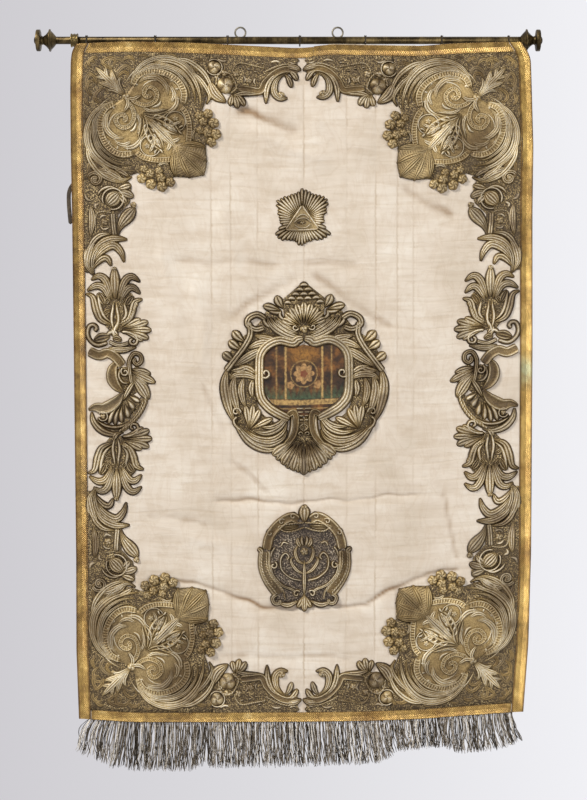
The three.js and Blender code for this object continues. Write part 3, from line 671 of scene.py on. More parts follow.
def corner_forms():
    """The whole corner in its own coordinates: a from the side, b from the end."""
    forms = [cut_cloth(CORNER_GROUND, (150, 150)), cut_cloth(SHIELD, (165, 165), 0.6, 0.4)]
    forms += toned(diagonal([(leaf, path, 1.15 * width, 2, 2.4) for path, width in CURLS]), 0.36)
    # rows of couching follow the shield's lobes
    forms += diagonal([(leaf, arc((185, 118), ring, -165, 200 - ring), 4.6, 1, 2) for ring in (36, 48, 60, 72)])
    for k in range(6):  # small leaflets in pairs up a spray
        root = np.array([176 + 11 * k, 166 + 4.5 * k])
        for middle, end in (((7, -6), (15, -8)), ((5, 7), (12, 11))):
            forms += diagonal([(leaf, [root, root + middle, root + end], 6.5, 1, 8, 0.6)])
    forms += diagonal([(leaf, path, width, ribs, 5.5, 0.4) for path, width, ribs in PLUMES])
    forms += diagonal(BANDS)
    for k in range(7):  # short strokes fan out between the crescent and the ladder
        angle = math.radians(-150 + 26 * k)
        root, tip = (np.array([184 + r * math.cos(angle), 116 + r * math.sin(angle)]) for r in (43, 54))
        forms += diagonal([(leaf, [root, (root + tip) / 2 + (1, 1), tip], 7, 1, 3)])
    forms += diagonal(INNER_LEAVES)
    forms += toned([cushion((255, 254), 35, 7, 5.2), *diagonal(TIP_LEAVES)], 0.7)
    for place, radius in BERRIES:
        turn = float(rng.uniform(0, 3))
        berries = [boss(spot, radius, 8, 5, 0.9, turn=way) for spot, way in ((place, turn), (place[::-1], -turn))]
        forms += toned(berries, 0.8)
    return forms + diagonal([(leaf, [(270, 186), (262, 200), (268, 214)], 8, 2, 4)])


# %% Sew the corners
SIDES = (("left", lambda a: a - 500, -1), ("right", lambda a: 500 - a, 1))
ENDS = (("top", lambda b: b), ("bottom", lambda b: CLOTH_HEIGHT - b))
for side, across, out in SIDES:
    for end, down in ENDS:
        spot = f"{end}_{side}"
        sew(f"corner_work_{spot}", corner_forms(), lambda a, b: (across(a), down(b)), f"corner_{spot}", GOLDWORK)

# %% [markdown]
# ## Leaf groups
# Under each upper corner, and mirrored over each lower one, stands the same group: a spiral
# rosette, a ribbed fruit in its ring, a ragged pale leaf, a gilt strap, a small panel with a
# flower, and fronds that arch out from one root. Each is one padded and couched form, so the
# group is a list of forms laid over each other, as the embroiderer laid them.

# %% Leaf group forms


def worked(rows):
    """One form a row: its maker comes first, then its path and sizes."""
    return [make(*sizes) for make, *sizes in rows]


LEAF_GROUP = [
    (cut_cloth, [
        (22, 298), (118, 298), (130, 312), (126, 350), (100, 376), (96, 424), (70, 430), (50, 470), (34, 504),
        (22, 500)], (60, 370)),
    (leaf, [(54, 278), (78, 284), (98, 294), (114, 310)], 20, 4, 5),
    (leaf, [(92, 276), (108, 282), (126, 294)], 11, 2, 4),
    (strap, spiral((51, 299), 17, 4, 200, 520, 20), 9, 2, 5),
    (boss, (51, 299), 6, 6, 3),
    (leaf, [(96, 322), (114, 316), (130, 311)], 14, 2, 5, 0.6),
    (leaf, [(96, 328), (116, 330), (135, 338)], 17, 3, 5, 0.6),
    (leaf, [(98, 332), (110, 342), (119, 353)], 15, 2, 5, 0.6),
    (leaf, [(74, 357), (89, 342), (104, 327)], 33, 5, 9, 0.5),
    (strap, arc((89, 342), 23, 150, 320), 5, 1, 5),
    (leaf, [(54, 336), (64, 322), (82, 315), (103, 322)], 7, 1, 5),
    (leaf, [(40, 354), (43, 388), (38, 427)], 16, 3, 5),
    (cord, [(50, 414), (51, 378), (64, 369), (86, 372)], 3.4, 3, 5),
    (boss, (70, 392), 8, 4, 4),
    (leaf, [(60, 400), (68, 408), (82, 403)], 7, 1, 3),
    (leaf, [(58, 386), (66, 378), (78, 379)], 6, 1, 3),
    (strap, [(88, 372), (89, 395), (92, 422)], 11, 2, 4.5),
    (leaf, [(97, 427), (106, 398), (137, 360)], 27, 4, 6, 0.68),
    (boss, (133, 355), 7, 5, 3),
    (leaf, [(36, 470), (58, 442), (86, 429), (120, 430)], 17, 3, 6, 0.55),
    (leaf, [(34, 462), (42, 438), (60, 421), (88, 417)], 12, 2, 5),
    (leaf, [(38, 488), (62, 456), (88, 443), (105, 458), (112, 481)], 17, 3, 6, 0.55),
    (leaf, [(38, 500), (58, 476), (74, 471), (84, 489)], 13, 2, 5, 0.6),
    (leaf, [(50, 428), (37, 452), (31, 484), (44, 509)], 16, 3, 5),
    (leaf, [(62, 440), (47, 462), (42, 488), (45, 508)], 10, 2, 6),
    (leaf, [(28, 448), (27, 476), (36, 503)], 8, 1, 3),
    (leaf, [(28, 330), (33, 342), (46, 346)], 8, 1, 3),
    (leaf, [(60, 350), (50, 356), (54, 366)], 8, 1, 3),
]
LEAF_FOLD = 1482
TULIP_FOLD = 1490


def sew_sides(kind, node, upper, lower, fold):
    """One motif at both sides and both ends: the lower ones are turned over at the fold."""
    for side, across, out in SIDES:
        sew(f"{kind}_top_{side}", upper(), lambda a, b: (across(a), b), f"{node}_top_{side}")
        sew(f"{kind}_bottom_{side}", lower(), lambda a, b: (across(a), fold - b), f"{node}_bottom_{side}")


sew_sides("leaf_work", "leaves", lambda: worked(LEAF_GROUP), lambda: worked(LEAF_GROUP), LEAF_FOLD)

# %% [markdown]
# ## Tulips
# A tulip opens beyond each leaf group: five ribbed petals over a cup, whose sides hold almond
# cells with a cord round each. The upper ones stand in a curled foot and have a palmette on a
# stem, and the lower ones have the palmette alone.

# %% Tulip forms
TULIP = [
    (cut_cloth, [
        (40, 560), (60, 545), (92, 560), (125, 545), (142, 566), (128, 600), (96, 636), (84, 636), (52, 600)],
     (90, 590)),
    (leaf, [(91, 563), (91, 525), (89.7, 489)], 21, 3, 7, 0.55),
    (boss, (90, 495), 6, 6, 3),
    (leaf, [(86, 566), (72, 522), (56, 510), (38, 519)], 16, 3, 6, 0.55),
    (leaf, [(82, 570), (68, 538), (50, 531), (29, 543)], 15, 3, 6, 0.55),
    (leaf, [(96, 566), (112, 523), (128, 511), (147, 523)], 16, 3, 6, 0.55),
    (leaf, [(100, 570), (117, 540), (131, 535), (147, 549)], 15, 3, 6, 0.55),
    (leaf, [(26, 548), (42, 556), (50, 586), (60, 606), (86, 618)], 15, 2, 6),
    (leaf, [(53, 546), (58, 576), (67, 598), (86, 614)], 9, 1, 5),
    (cell, [(54, 545), (62, 560), (69, 575)], 14, 4),
    (cell, [(68, 574), (73, 565), (80, 556)], 10, 4),
    (cell, [(64, 596), (72, 588), (82, 586)], 10, 3.5),
    (leaf, [(88, 630), (83, 604), (86, 580), (88, 562)], 8, 1, 5),
    (leaf, [(93, 630), (98, 604), (95, 580), (94, 562)], 8, 1, 5),
    (leaf, [(152, 559), (134, 567), (128, 588), (119, 606), (96, 616)], 15, 2, 6),
    (cord, [(140, 568), (131, 586), (122, 602), (104, 612)], 5, 7, 6),
    (leaf, [(110, 566), (115, 594), (102, 611)], 9, 1, 5),
    (cell, [(114, 576), (122, 562), (131, 552)], 14, 4),
    (cell, [(103, 560), (107, 568), (114, 577)], 9, 4),
    (leaf, [(84, 622), (90, 634), (98, 640)], 12, 2, 5),
    (leaf, [(98, 626), (116, 608), (130, 597)], 11, 2, 5, 0.7),
    (leaf, [(98, 626), (126, 614), (148, 603)], 15, 2, 5, 0.75),
    (leaf, [(98, 626), (136, 618), (164, 608)], 15, 2, 5.5, 0.78),
    (leaf, [(98, 627), (138, 626), (171, 627)], 15, 2, 5.5, 0.78),
    (leaf, [(98, 628), (134, 634), (165, 646)], 15, 2, 5.5, 0.78),
    (leaf, [(98, 629), (128, 638), (152, 651)], 13, 2, 5, 0.75),
    (strap, [
        (104, 631), (118, 632), (131, 637), (139, 646), (136, 657), (126, 658), (123, 650), (130, 646)], 6, 1, 5),
]
TULIP_FOOT = [
    (strap, [(44, 631), (50, 624), (44, 617), (34, 620), (30, 636), (36, 651), (52, 661), (74, 655)], 8, 1, 5),
    (cell, [(43, 651), (60, 645), (80, 641)], 19, 4),
    (cell, [(84, 648), (94, 646), (105, 652)], 11, 4),
    (strap, [(76, 653), (98, 661), (121, 656)], 7, 2, 4),
    (leaf, [(85, 642), (90, 626), (98, 607)], 8, 1, 6),
    (leaf, [(70, 640), (84, 632), (90, 646)], 9, 1, 5),
]
sew_sides("tulip_work", "tulip", lambda: worked(TULIP + TULIP_FOOT), lambda: worked(TULIP), TULIP_FOLD)

# %% [markdown]
# ## Scrolls
# Half way down each side a big scroll ties the two tulips together. A flat strap with corded
# edges bends into an open crescent, ragged leaves break out of it, and round drops fan out over
# a thin crescent edged with twisted cord.

# %% Scroll forms


def framed(path, width, height=3.6, ends=blunt):
    """A flat strap with a cord along each edge."""
    return carried(path, width, height, rimmed, 13, ends, 3)


SCROLL = [
    (felt, [(40, 826), (64, 842), (92, 845), (122, 826), (146, 794), (155, 770)], 20),
    (felt, [(60, 812), (96, 806), (124, 784), (134, 768)], 40),
    (felt, [(108, 706), (112, 730), (124, 750), (136, 766)], 34),
    (felt, [(124, 714), (146, 728), (160, 744)], 30),
    (framed, [(31, 674), (54, 683), (74, 678), (92, 688), (106, 706)], 19, 4),
    (leaf, [(74, 667), (104, 671), (138, 664)], 13, 3, 5),
    (framed, [(98, 694), (85, 711), (83, 732), (92, 750), (108, 764)], 23, 5, pointed(0.5)),
    (leaf, [(101, 710), (98, 728), (107, 742), (123, 742)], 6, 1, 6),
    (strap, spiral((112, 719), 11, 2, 250, -480, 16), 5, 1, 6),
    (strap, [
        (126, 745), (122, 720), (121, 696), (131, 679), (145, 682), (147, 695), (138, 702), (131, 695), (136, 688)],
     8, 2, 6),
    (leaf, [(125, 712), (146, 716), (169, 723)], 12, 2, 5, 0.6),
    (leaf, [(124, 716), (150, 728), (179, 742)], 17, 3, 5.5, 0.6),
    (leaf, [(126, 722), (146, 738), (162, 748)], 13, 2, 5, 0.6),
    (leaf, [(122, 724), (145, 748), (164, 779)], 25, 4, 6, 0.6),
    (leaf, [(132, 738), (120, 756), (106, 782)], 11, 2, 7),
    (framed, [(108, 762), (90, 785), (66, 799), (46, 797), (29, 803)], 25, 6, pointed(0.5)),
    (leaf, [(100, 788), (82, 810), (74, 834)], 10, 1, 5, 0.72),
    (leaf, [(103, 788), (92, 812), (88, 836)], 10, 1, 5, 0.72),
    (leaf, [(106, 786), (102, 808), (103, 830)], 12, 1, 6, 0.72),
    (leaf, [(109, 783), (114, 800), (118, 820)], 13, 1, 6, 0.72),
    (leaf, [(112, 776), (122, 787), (131, 800)], 13, 1, 6, 0.72),
    (leaf, [(116, 768), (130, 776), (144, 784)], 11, 1, 5, 0.72),
    (strap, arc((62, 816), 10, 200, 330), 4, 1, 5),
    (boss, (62, 816), 6, 3, 3),
    (leaf, [(37, 806), (41, 828), (58, 847), (84, 855), (108, 849)], 14, 2, 6),
    (leaf, [(48, 826), (72, 838), (100, 838), (124, 824)], 7, 1, 6),
    (cord, [(96, 849), (122, 832), (142, 811), (155, 786), (156, 770)], 6, 6, 8),
    (cord, [(104, 842), (126, 823), (143, 801), (152, 780)], 4, 5, 7),
]
for side, across, out in SIDES:
    sew(f"scroll_work_{side}", worked(SCROLL), lambda a, b: (across(a), b), f"scroll_{side}")

# %% [markdown]
# ## Half swags
# Along the top and the bottom, a half swag runs from each corner to the middle. Its strap with
# corded edges frames a dark seeded panel with a flower, a pear-shaped fruit hangs where the strap
# ends, and fronds curl down at both ends.

# %% Swag forms
SWAG = [
    (cut_cloth, [
        (203, 19), (14, 19), (4, 26), (12, 34), (4, 42), (8, 54), (30, 58), (70, 80), (90, 100), (150, 108), (196, 96)],
     (110, 50)),
    (boss, (190, 50), 15, 8, 3, 0.4),
    (strap, arc((190, 50), 17, 20, 300), 4, 1, 4),
    (cord, [(152, 62), (146, 46), (134, 38), (108, 42), (80, 47)], 3.6, 4, 5),
    (framed, [(138, 93), (112, 96), (90, 97), (79, 78), (58, 57), (34, 47), (9, 52)], 14, 5),
    (cord, [(82, 56), (60, 44), (34, 36), (9, 40)], 4, 4, 6),
    (boss, (115, 75), 8, 4, 5),
    (boss, (143, 62), 8, 4, 4),
    (strap, [(139, 47), (130, 48)], 3.4, 1, 4),
    (strap, [(121, 50), (112, 51)], 3.4, 1, 4),
    (strap, [(106, 55), (97, 56)], 3.4, 1, 4),
    (strap, [(98, 38), (92, 39)], 3.4, 1, 4),
    (strap, [(88, 37), (82, 38)], 3.4, 1, 4),
    (boss, (166, 88), 19, 9, 3, 0.2),
    (cord, [(186, 90), (183, 70), (170, 60), (156, 64), (146, 78), (142, 94), (154, 105)], 4.5, 6, 7),
    (leaf, [(160, 80), (164, 90), (172, 100)], 9, 2, 11),
    (boss, (168, 62), 8, 6, 3),
    (leaf, [(200, 82), (188, 108), (164, 126)], 24, 4, 6),
    (leaf, [(150, 104), (152, 118), (156, 133)], 13, 2, 6, 0.65),
    (leaf, [(148, 104), (142, 122), (139, 138)], 14, 2, 6, 0.65),
    (leaf, [(146, 104), (132, 118), (124, 132)], 14, 2, 6, 0.65),
    (leaf, [(150, 111), (124, 104), (92, 105)], 11, 2, 5),
    (leaf, [(38, 52), (64, 68), (76, 92), (78, 125)], 13, 2, 6, 0.6),
    (leaf, [(36, 54), (56, 74), (60, 98), (48, 111), (30, 110)], 15, 3, 6, 0.6),
    (boss, (45, 104), 8, 7, 3),
    (leaf, [(36, 42), (18, 42), (1, 49)], 13, 3, 6, 0.5),
    (leaf, [(34, 50), (20, 56), (9, 72)], 12, 2, 6, 0.6),
    (leaf, [(38, 56), (28, 70), (22, 88)], 11, 2, 6, 0.6),
    (leaf, [(70, 34), (56, 30), (44, 34)], 7, 1, 3), (leaf, [(186, 30), (172, 36), (160, 32)], 7, 1, 3),
    (leaf, [(30, 30), (18, 34), (12, 30)], 6, 1, 3), (leaf, [(128, 64), (122, 74), (128, 84)], 6, 1, 3),
    (leaf, [(100, 68), (104, 78), (98, 86)], 6, 1, 3), (leaf, [(192, 70), (180, 74), (184, 82)], 7, 1, 3),
]
for side, across, out in SIDES:
    for end, down in ENDS:
        sew(f"swag_work_{end}_{side}", worked(SWAG), lambda a, b: (out * a, down(b)), f"swag_{end}_{side}")

# %% [markdown]
# ## Medallion with rays
# The upper medallion is a triangle with an eye, a traditional sign, in a burst of narrow rays.
# Each ray is one padded strip. It starts at the triangle and ends at a reach that is read from
# its angle, so the burst has five broad points.

# %% Ray medallion forms
RAY_ANGLES = [0, 21, 33, 51, 68, 85, 96, 108, 114, 120, 137, 151, 167, 180]
RAY_REACH = [69, 61, 65, 71, 60, 50, 50, 44, 62, 71, 65, 50, 53, 57]
RAY_CENTRE = (0, 378)
TRIANGLE = [(0, 346), (36, 400), (-36, 400)]


def triangle_edge(way):
    """The distance to the triangle along a direction: the nearest of its three side lines."""
    across, down = way
    slant = 17.5 / max(0.841 * abs(across) - 0.541 * down, 1e-3)
    return min(slant, 21 / down if down > 0.05 else 99)


def burst(degrees):
    """A direction, counted from straight up, and how far the burst reaches along it."""
    angle = math.radians(degrees)
    return np.array([math.sin(angle), -math.cos(angle)]), np.interp(abs(degrees), RAY_ANGLES, RAY_REACH)


def ray(degrees):
    """One strip from the triangle's side to the burst's outline."""
    way, reach = burst(degrees)
    reach *= rng.uniform(0.96, 1.04)
    spots = np.array(RAY_CENTRE) + np.outer(np.linspace(triangle_edge(way) - 3, reach, 3), way)
    return leaf(spots, 7.4, 1, 5, 0.62)


backing = [np.array(RAY_CENTRE) + 0.82 * reach * way for way, reach in map(burst, range(-180, 180, 12))]
ray_forms = [
    cut_cloth(backing, RAY_CENTRE),
    *map(ray, np.arange(-180, 180, 7.5)),
    cut_cloth(TRIANGLE, (0, 382), 3.5, 0.62),
    *(strap([TRIANGLE[k - 3], TRIANGLE[k - 2]], 6, 1, 5.5) for k in range(3)),
    *toned([leaf([(-17, 385), (1, 384), (18, 386)], 17, 1, 4.4)], 0.2),
    boss((1, 385), 5.5, 9, 3),
    strap([(-19, 386), (-10, 377), (1, 374), (12, 377), (20, 386)], 4.4, 1, 9),
    strap([(-18, 387), (-9, 394), (1, 396), (11, 394), (19, 387)], 4, 1, 8),
    strap([(-15, 378), (-7, 369), (1, 366), (9, 369), (17, 378)], 4, 1, 7),
]
sew("ray_work", ray_forms, lambda a, b: (a, b), "ray_medallion")

# %% [markdown]
# ## Centre medallion
# The largest piece is a cartouche round a painted cloth. A crest of bean-shaped scales, a shell
# and a boat of acanthus crown it, vines with buds run down its sides, and more acanthus closes
# below over a palmette. It is nearly the same left and right, so one half is drawn and mirrored.

# %% Centre medallion forms
CROWN_SHIFT = 4


def pair(rows):
    """Each row's form and its mirror image across the centre line."""
    return worked(rows) + worked([(make, np.asarray(path) * (-1, 1), *sizes) for make, path, *sizes in rows])


FRAME_HALF = [(24, 648), (53, 643), (78, 653), (95, 674), (98, 706), (96, 762), (80, 788), (56, 804), (30, 816)]
CROWN_HALF = [
    (felt, [(96, 640), (128, 690), (142, 745), (124, 815), (84, 850), (40, 866)], 66),
    (felt, [(60, 585), (80, 620), (112, 650), (150, 690)], 46),
    (strap, [(0, 638), (14, 641), *FRAME_HALF], 20, 3, 8),
    (strap, spiral((84, 716), 12, 3, 30, 420, 16), 6, 1, 7),
    (leaf, [(44, 574), (54, 560), (60, 544)], 18, 2, 7, 0.62),
    (leaf, [(48, 578), (66, 573), (90, 568)], 17, 2, 7, 0.66),
    (leaf, [(48, 581), (62, 583), (78, 579)], 9, 1, 5),
    (leaf, [(40, 600), (52, 590), (50, 576)], 8, 1, 6),
    (leaf, [(84, 587), (70, 613), (40, 632), (0, 642)], 13, 2, 6, 0.5),
    (leaf, [(76, 590), (62, 610), (36, 627), (4, 636)], 12, 2, 6.5, 0.5),
    (leaf, [(68, 591), (54, 607), (34, 620), (10, 628)], 11, 2, 7, 0.5),
    (leaf, [(60, 592), (48, 604), (32, 613), (20, 618)], 10, 2, 6.5, 0.5),
    (leaf, [(86, 594), (86, 604), (72, 618)], 9, 1, 5),
    (strap, spiral((19, 614), 8, 2, 180, -420, 14), 4.6, 1, 8),
    (strap, [(82, 598), (101, 588), (120, 596), (123, 611), (105, 621), (86, 616)], 12, 2, 8),
    (strap, [(121, 604), (117, 630), (129, 656), (150, 685), (172, 714)], 13, 2, 8),
    (leaf, [(126, 650), (142, 640), (156, 624)], 20, 2, 9, 0.66),
    (leaf, [(134, 668), (150, 658), (165, 646)], 20, 2, 9, 0.66),
    (leaf, [(148, 692), (164, 684), (178, 672)], 19, 2, 9, 0.66),
    (leaf, [(58, 643), (85, 639), (110, 633)], 15, 3, 5.5),
    (leaf, [(64, 648), (96, 651), (126, 664)], 17, 3, 5.5),
    (leaf, [(86, 661), (118, 679), (156, 704)], 20, 4, 6),
    (leaf, [(104, 717), (122, 706), (144, 702)], 13, 2, 5),
    (leaf, [(118, 700), (140, 710), (162, 712)], 13, 2, 5),
    (leaf, [(100, 730), (124, 720), (150, 722), (166, 734)], 16, 3, 6),
    (leaf, [(168, 708), (174, 745), (166, 790), (152, 828)], 22, 3, 6),
    (leaf, [(150, 722), (156, 750), (150, 784), (140, 812)], 20, 3, 6),
    (leaf, [(132, 726), (138, 752), (134, 776), (126, 794)], 16, 3, 5.5),
    (leaf, [(112, 730), (116, 752), (112, 772)], 13, 2, 5),
    (strap, spiral((149, 802), 11, 3, 160, 400, 14), 5, 1, 7),
    (leaf, [(121, 842), (108, 818), (96, 794)], 15, 2, 6, 0.68),
    (leaf, [(121, 842), (115, 812), (111, 784)], 15, 2, 6, 0.68),
    (leaf, [(121, 842), (124, 814), (128, 786)], 15, 2, 6, 0.68),
    (leaf, [(121, 842), (96, 828), (68, 814)], 14, 2, 6, 0.68),
    (leaf, [(156, 822), (122, 866), (82, 884), (46, 876)], 15, 2, 7, 0.5),
    (leaf, [(148, 830), (114, 862), (78, 872), (48, 860), (36, 838)], 14, 2, 7, 0.5),
    (leaf, [(132, 840), (102, 858), (70, 860), (46, 844), (36, 820)], 13, 2, 7.5, 0.5),
    (leaf, [(114, 842), (86, 848), (60, 840), (42, 822), (34, 804)], 13, 2, 7.5, 0.5),
    (leaf, [(96, 834), (72, 834), (52, 824), (40, 806)], 11, 2, 6.5, 0.5),
    (strap, [(146, 812), (154, 820), (150, 832), (138, 842)], 6, 1, 7),
    (framed, [(36, 808), (22, 800), (17, 816), (22, 848), (44, 878)], 12, 6),
    (leaf, [(26, 806), (27, 838), (38, 866)], 8, 1, 8),
    (strap, spiral((8, 848), 6, 2, 160, 380, 12), 4, 1, 7),
    (leaf, [(6, 852), (37, 877), (61, 907)], 15, 2, 6.5, 0.74),
    (leaf, [(4, 854), (21, 889), (38, 925)], 15, 2, 7, 0.75),
    (leaf, [(2, 855), (9, 895), (13, 934)], 14, 2, 7, 0.75),
    (leaf, [(8, 852), (38, 872), (70, 896)], 24, 3, 8, 0.76),
    (leaf, [(6, 854), (28, 884), (48, 917)], 24, 3, 8.5, 0.78),
    (leaf, [(3, 856), (14, 892), (25, 930)], 23, 3, 9, 0.78),
    (strap, [(0, 792), (18, 792)], 4, 1, 5),
    (strap, [(0, 800), (15, 800)], 4, 1, 5),
    (strap, [(0, 808), (12, 808)], 4, 1, 5),
    (strap, [(0, 817), (11, 817)], 5, 1, 5),
    (cord, [(0, 842), (9, 833), (0, 825)], 3, 5, 5),
]
CROWN_SPINE = [
    (cut_cloth, [(0, 512), (50, 556), (40, 602), (26, 642), (-26, 642), (-40, 602), (-50, 556)], (0, 590)),
    (cut_cloth, [(-28, 812), (28, 812), (30, 850), (0, 872), (-30, 850)], (0, 840)),
    (cut_cloth, [(-40, 862), (40, 862), (60, 896), (40, 914), (0, 926), (-40, 914), (-60, 896)], (0, 890)),
    (leaf, [(0, 856), (0, 896), (0, 939)], 22, 3, 9.5, 0.78),
    (boss, (0, 618), 9, 8, 3),
]
BEAN_ROWS = [521, 531, 541, 550.5, 560]
BEAN_SPACING = 17.5
SHELL_PETALS = 9
crown_forms = worked(CROWN_SPINE)
for row, t in enumerate(BEAN_ROWS):
    for k in range(row + 1):
        a = (k - row / 2) * BEAN_SPACING
        if t < 555 or abs(a) > 20:
            crown_forms.append(leaf([(a - 10, t + 2.5), (a, t - 1.5), (a + 10, t + 2.5)], 9.5, 1, 6.5, 0.5))
for k in range(-(SHELL_PETALS // 2), SHELL_PETALS // 2 + 1):
    turn, reach = math.radians(17 * k), 59 - 1.6 * abs(k)
    tip = (reach * math.sin(turn), 616 - reach * math.cos(turn))
    crown_forms.append(leaf([(0.1 * tip[0], 612), (0.5 * tip[0], (616 + tip[1]) / 2), tip], 17, 2, 10, 0.76))
crown_forms += pair(CROWN_HALF)
sew("crown_work", crown_forms, lambda a, b: (a + CROWN_SHIFT, b), "crown_medallion")

# %% [markdown]
# ## Painted cloth
# The cartouche frames a small painted cloth with a plain garden pattern: a rosette over a bed of
# leaves between two narrow pillars, in browns, ochres and dull greens. The pattern is worked out
# as masks on a fine grid, one value a point, and the material paints with them.

# %% Painted cloth
PANEL_HALF = [(24, 663), (52, 658), (68, 664), (82, 680), (85, 706), (83, 756), (68, 777), (50, 790), (28, 802)]
PANEL_OUTLINE = [(0, 655), *PANEL_HALF, (0, 806), *((-a, b) for a, b in PANEL_HALF[::-1])]
PANEL_MIDDLE = 730
ROSETTE = (0, 716)
BED_LINE = 772


def rosette(a, b, centre, radius, petals):
    """Nearly 1 inside a flower whose edge swings in and out with the angle, and 0 outside."""
    away = np.hypot(a - centre[0], b - centre[1])
    edge = radius * (0.72 + 0.28 * np.abs(np.cos(petals / 2 * np.arctan2(b - centre[1], a - centre[0]))))
    return np.clip((edge - away) / 2 + 0.5, 0, 1)


def leaf_bed(a, b):
    """Rows of upright leaf tips: each is a parabola on its own cell of the row."""
    mask = np.zeros_like(a)
    for row, (width, height) in enumerate(((15, 30), (11, 20), (9, 11))):
        x = (np.mod(a + row * width / 2, width) / width - 0.5) * 2
        mask = np.maximum(mask, np.clip((height * (1 - x**2) - (BED_LINE - b)) / 3, 0, 1) * (0.45 + 0.25 * row))
    return mask * (b < BED_LINE)


def stripe(away, half):
    """1 on a painted line of this half width, and 0 from one millimetre outside it."""
    return np.clip(half - np.abs(away), 0, 1)


panel_edge = [(1.05 * a, PANEL_MIDDLE + 1.05 * (b - PANEL_MIDDLE)) for a, b in PANEL_OUTLINE]
a, b = shrunk(panel_edge, (0, PANEL_MIDDLE), 2.2, 50)
level = np.full(a.shape, 1.3)
level[0] = 0
buds = np.maximum(rosette(a, b, (-30, 741), 9, 5), rosette(a, b, (30, 741), 9, 5))
masks = {
    "sky": np.clip(1 - np.hypot(a / 46, (b - 672) / 30), 0, 1) * (b < ROSETTE[1]),
    "greens": leaf_bed(a, b),
    "flower": np.maximum(rosette(a, b, ROSETTE, 23, 8), 0.8 * buds),
    "heart": rosette(a, b, ROSETTE, 9, 5),
    "gilt": np.maximum.reduce([
        stripe(np.abs(a) - 40, 2.6) * (b < BED_LINE), 0.6 * stripe(np.abs(a) - 60, 2) * (b < BED_LINE),
        stripe(b - 779, 6), 0.8 * stripe(b - 793, 1.6), 0.7 * stripe(np.hypot(a, b - ROSETTE[1]) - 29, 1.5)]),
}
PAINTS = {"sky": "#9a6c2c", "greens": "#3f5238", "flower": "#b08a58", "heart": "#6a2f18", "gilt": "#b3935a"}


def painted_material():
    """Oil paint on primed cloth: dull pigment laid with a brush, cracked and browned."""
    material, node = new_material("oil paint on primed cloth")
    place = node("TexCoord", output="Object")
    brush = node("TexNoise", place, Scale=160, Detail=5, Roughness=0.7)
    ground = node("TexNoise", place, Scale=40, Detail=4)
    loaded = node("MapRange", brush, 0.3, 0.6, 0.45, 1)
    layers = [("MIX", node("Math MULTIPLY", node("Attribute", attribute_name=key, output="Fac"), loaded), paint)
              for key, paint in PAINTS.items()]
    colour = layered(
        node, node("ValToRGB", ground, stops=((0.3, "#1d1207"), (0.5, "#432a12"), (0.7, "#7a4f20"))),
        *layers, ("MULTIPLY", node("MapRange", brush, 0.55, 0.35, 0, 0.5), "#6b5540"))
    return finish(material, (brush, 0.4, 0.0006), Base_Color=colour, Roughness=0.55)


def cloth_object(name, spots, u, v, material, attributes=None, gauge=0.0):
    """A grid of spots as a mesh that faces the front, with a thickness if it has a gauge."""
    flat = spots.reshape(-1, 3)
    quads = to_front(flat, grid_quads(*spots.shape[:2]))
    thread = np.stack(np.broadcast_arrays(u, v), -1).reshape(-1, 2)
    piece = mesh_object(name, flat, quads, (material,), thread, attributes)
    if gauge:
        thick = piece.modifiers.new("gauge", "SOLIDIFY")
        thick.thickness, thick.offset = gauge, -1
    return piece


spots = hang(a + CROWN_SHIFT, b, SILK_FRONT + 0.9 + level)
settle(cloth_object("painted_cloth", spots, a, b, painted_material(), masks), "picture_panel")
print("painted cloth", a.size, "points")

# %% [markdown]
# ## Lower medallion
# A dark seeded disc lies in a scrolled frame with a bud above, two ears, two feet and a trefoil
# below. The frame's floor is seeded too, and a few bright sequins are left on it. A plain flower
# with curled stems grows up the disc.

